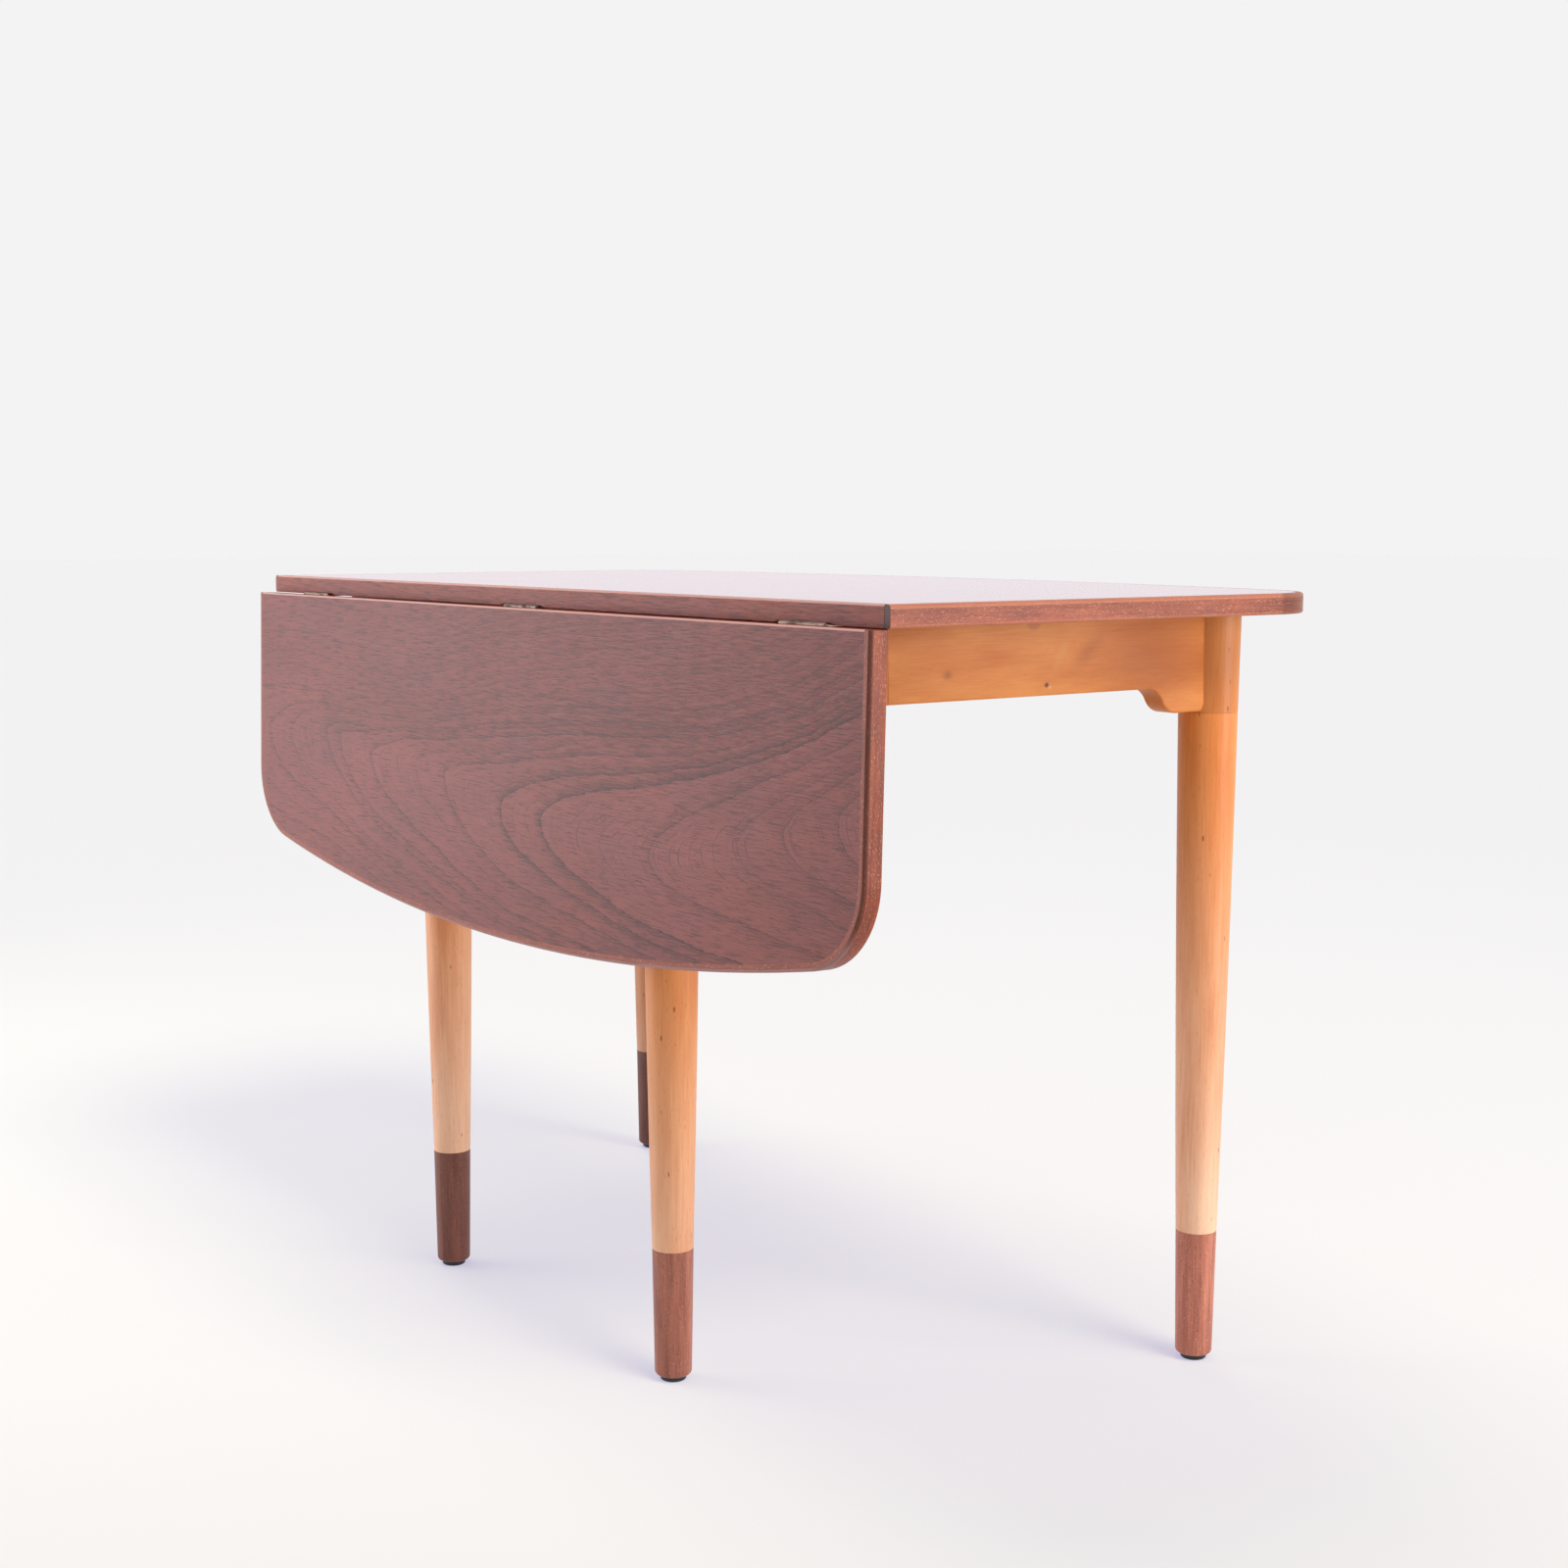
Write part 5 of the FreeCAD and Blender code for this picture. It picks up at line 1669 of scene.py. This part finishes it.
@dataclass(frozen=True)
class Rails:
    """The frame under the top: end rails and back rail with ogee brackets, and a front rail.

    Attributes:
        plan: the stand's places.
        depth, thickness: of a rail.
        setback: how far a rail's outer face is beyond the middle of the legs.
        bracket_drop: how much deeper the brackets are.
        bracket_flat, bracket_curve: length of the deep part with the leg, and of the ogee.
        cope, leg_cover: how far the rail and its bracket end from the middle of the leg.
        nose: rounding of the bracket's end.
        step_in, step_up: from the rounding's end to the level edge inside the leg.
        front_depth: how far the front rail's near face is from the hinge edge.
        arris, inner_arris: roundings of the outer and the inner edges.
    """

    plan: Plan
    depth: float = 0.066
    thickness: float = 0.022
    setback: float = 0.015
    bracket_drop: float = 0.023
    bracket_flat: float = 0.057
    bracket_curve: float = 0.038
    cope: float = 0.010
    leg_cover: float = 0.0226
    nose: float = 0.004
    step_in: float = 0.0004
    step_up: float = 0.001
    front_depth: float = 0.058
    arris: float = 0.002
    inner_arris: float = 0.0008

    def lower_edge(self) -> float:
        """Height of the rails' lower edge."""
        return self.plan.underside - self.depth

    def bracket(self, leg: float) -> Array:
        """Lower edge of a rail that ends in a bracket at a leg further along.

        Two equal arcs make the ogee, each of radius (run^2 + drop^2) / 4 drop, and the deep part
        ends in a small quarter round where it meets the leg.

        Args:
            leg: how far along the rail the leg's axis is.

        Returns:
            The edge's (along, height) points.
        """
        run, drop = self.bracket_curve, self.bracket_drop
        level = self.lower_edge()
        radius = (run**2 + drop**2) / (4 * drop)
        half = math.asin(run / 2 / radius)
        deep, bottom = leg - self.bracket_flat, level - drop
        first = arc((deep - run, level - radius), radius, QUARTER, QUARTER - half, OGEE_STEPS)
        second = arc((deep, bottom + radius), radius, -QUARTER - half, -QUARTER, OGEE_STEPS)
        corner = leg - self.leg_cover - self.nose
        nose = arc((corner, bottom + self.nose), self.nose, -QUARTER, 0, NOSE_STEPS)
        above = bottom + self.nose + self.step_up
        end = [[leg - self.leg_cover + self.step_in, above], [leg - self.cope, above]]
        return np.concatenate([first, second[1:], nose, end])

    def end_rail(self, side: int) -> Surface:
        """An end rail, from its plain end to the bracket.

        Args:
            side: -1 for the left one, 1 for the right one.

        Returns:
            The surface.
        """
        plan, level = self.plan, self.lower_edge()
        end = plan.leg_depth - self.cope
        plain = [[self.front_depth, level], [0.2, level]]
        top = [[end, plan.underside], [0.3, plan.underside], [self.front_depth, plan.underside]]
        loop = np.concatenate([plain, self.bracket(plan.leg_depth), top])
        loop[:, 0] += plan.hinge_y
        outer = (plan.leg_x + self.setback) * side
        low, high = sorted((outer, outer - self.thickness * side))
        arris = (self.arris, self.inner_arris) if side < 0 else (self.inner_arris, self.arris)
        return plate(loop, low, high, arris, "x")

    def back_rail(self) -> Surface:
        """The back rail, with a bracket at both ends.

        Returns:
            The surface.
        """
        plan = self.plan
        lower = self.bracket(plan.leg_x)
        end = plan.leg_x - self.cope
        top = [[end, plan.underside], [0.0, plan.underside], [-end, plan.underside]]
        loop = np.concatenate([lower, top, lower[::-1] * MIRRORED])
        high = plan.hinge_y + plan.leg_depth + self.setback
        return plate(loop, high - self.thickness, high, (self.inner_arris, self.arris), "y")

    def front_rail(self) -> Surface:
        """The plain rail behind the folded gates.

        Returns:
            The surface.
        """
        half = self.plan.leg_x + self.setback - self.thickness
        corners = [[x, self.lower_edge()] for x in (-half, 0.0, half)]
        corners += [[x, self.plan.underside] for x in (half, 0.0, -half)]
        low = self.plan.hinge_y + self.front_depth
        arris = (self.inner_arris, self.inner_arris)
        return plate(np.array(corners), low, low + self.thickness, arris, "y")

    def build(self, finishes: Finishes) -> None:
        """Add the rails and dress the blocks and gates.

        Args:
            finishes: the table's finishes.
        """
        along_x, along_y = finishes.beech[Grain.X], finishes.beech[Grain.Y]
        for piece, surface, wood, node in (
            ("end_apron_left", self.end_rail(-1), along_y, "end_rail_left"),
            ("end_apron_right", self.end_rail(1), along_y, "end_rail_right"),
            ("back_apron", self.back_rail(), along_x, "back_rail"),
            ("front_apron", self.front_rail(), along_x, "front_rail"),
        ):
            add_piece(piece, surface, wood, Body.TABLE, node)
        blocks = ("fly_rail", "knuckle_block", "leaf_rest", "corner_block_front", "corner_block_back")
        for block in blocks:
            for side in ("left", "right"):
                dress_node(f"{block}_{side}", along_x)


@dataclass(frozen=True)
class Hardware:
    """Hinges, screws, studs and pins: the frame's own solids in aged metal.

    Attributes:
        hinges, legs, sides: names of the hinges, of the legs with studs and of the gates with pins.
        screws: the groups of screws.
    """

    hinges: tuple[str, ...] = ("left", "middle", "right")
    legs: tuple[str, ...] = ("back_left", "back_right", "swing_left", "swing_right")
    sides: tuple[str, ...] = ("left", "right")
    screws: tuple[str, ...] = ("fixing_screws", "top_hinge_screws", "leaf_hinge_screws")

    def build(self, finishes: Finishes) -> None:
        """Dress every metal node.

        Args:
            finishes: the table's finishes.
        """
        for hinge in self.hinges:
            for part in ("top_plate", "leaf_plate", "pin"):
                dress_node(f"hinge_{hinge}_{part}", finishes.hinge)
        studs = [f"leg_stud_{leg}" for leg in self.legs]
        pins = [f"knuckle_pin_{side}" for side in self.sides]
        for node in (*studs, *pins, *self.screws):
            dress_node(node, finishes.zinc)


# ---------------------------------------------------------------- the room


@dataclass(frozen=True)
class Lamp:
    """A sun with a wide disc, or a square soft light.

    Attributes:
        name: the lamp's name.
        power, tint: strength of a sun or watts of a soft light, and its colour.
        place, target: where it is and where it points.
        spread: angle of a sun's disc or of a soft light's beam, in degrees.
        size: side of a soft light, or none for a sun.
    """

    name: str
    power: float
    tint: Triple
    place: Triple
    target: Triple
    spread: float
    size: Optional[float] = None

    def build(self) -> None:
        """Add the lamp and turn it to its target."""
        data = bpy.data.lights.new(self.name, "AREA" if self.size else "SUN")
        data.energy, data.color = self.power, self.tint
        if self.size:
            data.shape, data.size, data.spread = "SQUARE", self.size, math.radians(self.spread)
        else:
            data.angle = math.radians(self.spread)
        lamp = bpy.data.objects.new(self.name, data)
        bpy.context.scene.collection.objects.link(lamp)
        lamp.location = self.place
        x, y, z = np.array(self.target) - np.array(self.place)
        lamp.rotation_euler = (math.atan2(math.hypot(x, y), -z), 0, math.atan2(y, x) - QUARTER)


LAMPS = (
    Lamp("key", 1.35, (1.0, 0.98, 0.96), (2.5, 0.25, 2.9), (0.0, 0.0, 0.0), 24),
    Lamp("second", 0.8, (1.0, 0.98, 0.98), (-1.4, 0.0, 2.9), (0.0, 0.0, 0.0), 35),
    Lamp("side", 25, (1.0, 0.97, 0.92), (3.4, 1.8, 0.7), (0.4, 0.0, 0.5), 100, 2.0),
    Lamp("fill", 17, (0.95, 0.94, 1.0), (-2.0, -1.95, 0.55), (-0.4, -0.27, 0.45), 110, 1.6),
)


@dataclass(frozen=True)
class Studio:
    """A pale floor, two broad suns, two soft lamps, a pale surround and the camera.

    Attributes:
        hinge_y: y of the fixed top's hinge edge.
        camera_place: where the camera is from the middle of that edge, and its height.
        yaw, pitch, roll: its turn, how far it looks down and how far it leans, in degrees.
        lens, sensor: its focal length and the width of its sensor, in millimetres.
        clip: nearest and furthest distance that it sees.
        floor_reach: half the floor's side.
        seen, ambient: the surround where it is seen or mirrored, and as light.
        floor_base, floor_roughness: of the floor.
        floor_glow: the floor's own light.
        floor_glow_dim, floor_glow_near: share of it that lights things, and on the near side.
        floor_near: how far out on the near side the glow starts and ends to fade.
    """

    hinge_y: float
    camera_place: Triple = (1.8718, -1.11417, 0.78479)
    yaw: float = 52.706
    pitch: float = 6.643
    roll: float = -0.081
    lens: float = 52.37
    sensor: float = 36.0
    clip: tuple[float, float] = (0.05, 100.0)
    floor_reach: float = 40.0
    seen: Triple = (0.896, 0.896, 0.896)
    ambient: Triple = (0.37, 0.36, 0.42)
    floor_base: Triple = (0.52, 0.51, 0.31)
    floor_glow: Triple = (0.415, 0.424, 0.598)
    floor_glow_dim: float = 0.6
    floor_glow_near: float = 0.86
    floor_near: tuple[float, float] = (0.2, 1.1)
    floor_roughness: float = 0.6

    def floor_finish(self) -> bpy.types.Material:
        """The floor's glow and colour, so that it loses a little of its light in a shadow.

        It glows a little less out on the near side, where the soft lamps reach it. That side is
        fixed in the room and doesn't follow the view.

        Returns:
            The material.
        """
        g = Graph("pale floor")
        path = g.node("LightPath").outputs
        seen = g.math("MAXIMUM", path["Is Camera Ray"], path["Is Glossy Ray"])
        glow = g.add(g.times(seen, 1 - self.floor_glow_dim), self.floor_glow_dim)
        x, y, _ = g.place()
        turn = math.radians(self.yaw)
        nearer = g.add(g.times(x, math.sin(turn)), g.times(y, -math.cos(turn)))
        fade = g.times(g.level(nearer, *self.floor_near), self.floor_glow_near - 1)
        g.shade(Base_Color=self.floor_base, Roughness=self.floor_roughness, Specular_IOR_Level=0.0)
        g.shade(Emission_Color=self.floor_glow, Emission_Strength=g.times(glow, g.add(1.0, fade)))
        return g.material

    def floor(self) -> None:
        """Lay the large flat floor."""
        reach = self.floor_reach
        corners = [(-reach, -reach, 0), (reach, -reach, 0), (reach, reach, 0), (-reach, reach, 0)]
        mesh = bpy.data.meshes.new("floor")
        mesh.from_pydata(corners, [], [(0, 1, 2, 3)])
        floor = bpy.data.objects.new("floor", mesh)
        bpy.context.scene.collection.objects.link(floor)
        mesh.materials.append(self.floor_finish())

    def world(self) -> None:
        """Make the surround pale where it is seen or mirrored, and dimmer and cooler as light."""
        world = bpy.data.worlds.new("surround")
        bpy.context.scene.world = world
        world.use_nodes = True
        nodes, links = world.node_tree.nodes, world.node_tree.links
        path, seen = nodes.new("ShaderNodeLightPath"), nodes.new("ShaderNodeMath")
        seen.operation = "MAXIMUM"
        links.new(path.outputs["Is Camera Ray"], seen.inputs[0])
        links.new(path.outputs["Is Glossy Ray"], seen.inputs[1])
        mix = nodes.new("ShaderNodeMix")
        mix.data_type = "RGBA"
        mix.inputs[6].default_value = (*self.ambient, 1)
        mix.inputs[7].default_value = (*self.seen, 1)
        links.new(seen.outputs[0], mix.inputs[0])
        links.new(mix.outputs[2], nodes["Background"].inputs["Color"])

    def camera(self) -> None:
        """Add the camera, turned by its three angles."""
        data = bpy.data.cameras.new("camera")
        data.lens, data.sensor_width = self.lens, self.sensor
        data.clip_start, data.clip_end = self.clip
        camera = bpy.data.objects.new("camera", data)
        bpy.context.scene.collection.objects.link(camera)
        x, y, z = self.camera_place
        camera.location = (x, self.hinge_y + y, z)
        turn = (90 - self.pitch, self.roll, self.yaw)
        camera.rotation_euler = [math.radians(angle) for angle in turn]
        bpy.context.scene.camera = camera

    def build(self) -> None:
        """Set up the room."""
        bpy.context.scene.view_settings.view_transform = "Standard"
        self.floor()
        self.world()
        for lamp in LAMPS:
            lamp.build()
        self.camera()
        LOG.info("studio: floor, surround, %d lamps and the camera", len(LAMPS))


# ---------------------------------------------------------------- the table


@dataclass(frozen=True)
class Boards:
    """The fixed top and the leaf that hangs from it.

    Attributes:
        hinge_y, underside: y of the fixed top's hinge edge, and height of its underside.
        pin, lean: middle of the hinge line, and how far the leaf leans out, in radians.
        top_depth, leaf_depth: depths of the boards.
        sheet_joint: where the top's two sheets of veneer meet, in millimetres from the hinge edge.
        sheets: where the sheets begin and end, past every edge, in millimetres.
    """

    hinge_y: float
    underside: float
    pin: Array
    lean: float
    top_depth: float = 0.5695
    leaf_depth: float = 0.3165
    sheet_joint: float = 284.75
    sheets: tuple[float, float] = (-20, 700)

    def top(self) -> Board:
        """The fixed top, with its two sheets laid side by side.

        Returns:
            The board.
        """
        start, end = self.sheets
        figures = ((start, self.sheet_joint, TOP_FIGURE), (self.sheet_joint, end, TOP_FIGURE))
        seat = Seat((0.0, self.hinge_y, self.underside), (0, 1, 0), (0, 0, 1))
        return Board("top", seat, Body.TABLE, self.top_depth, figures)

    def leaf(self) -> Board:
        """The leaf as it hangs, leaning out from the pins.

        Returns:
            The board.
        """
        across = np.array([0.0, -math.sin(self.lean), -math.cos(self.lean)])
        up = np.array([0.0, -math.cos(self.lean), math.sin(self.lean)])
        origin = self.pin + (across + up) * Board.pin_offset
        # The leaf: painted shade on its ends' upper arrises and a painted highlight along its bow.
        return Board(
            "leaf", Seat(tuple(origin), tuple(across), tuple(up)), Body.LEAF, self.leaf_depth,
            ((*self.sheets, LEAF_FIGURE),), highlight_share=0.0, painted_arris_shade=0.7,
            corner_end_grain=0.15, bow_highlight_share=1.0,
        )

    def build(self, finishes: Finishes) -> None:
        """Add both boards."""
        self.top().build(finishes)
        self.leaf().build(finishes)


def main() -> None:
    """Build the table's sub-assemblies in order, then the room."""
    logging.basicConfig(level=logging.INFO, format="%(message)s")
    hinge_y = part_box("top_outer_lipping")[0].y
    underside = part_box("top_panel")[0].z
    joint = next(j for j in frame["joints"] if j["name"] == "leaf_lift")
    lean = QUARTER - math.radians(max(joint["range_deg"]))
    finishes = Finishes()
    plan = Plan(hinge_y, underside)
    Boards(hinge_y, underside, np.array(joint["pos_m"]), lean).build(finishes)
    Rails(plan).build(finishes)
    Legs(plan).build(finishes)
    Hardware().build(finishes)
    Studio(hinge_y).build()


if __name__ == "__main__":
    main()
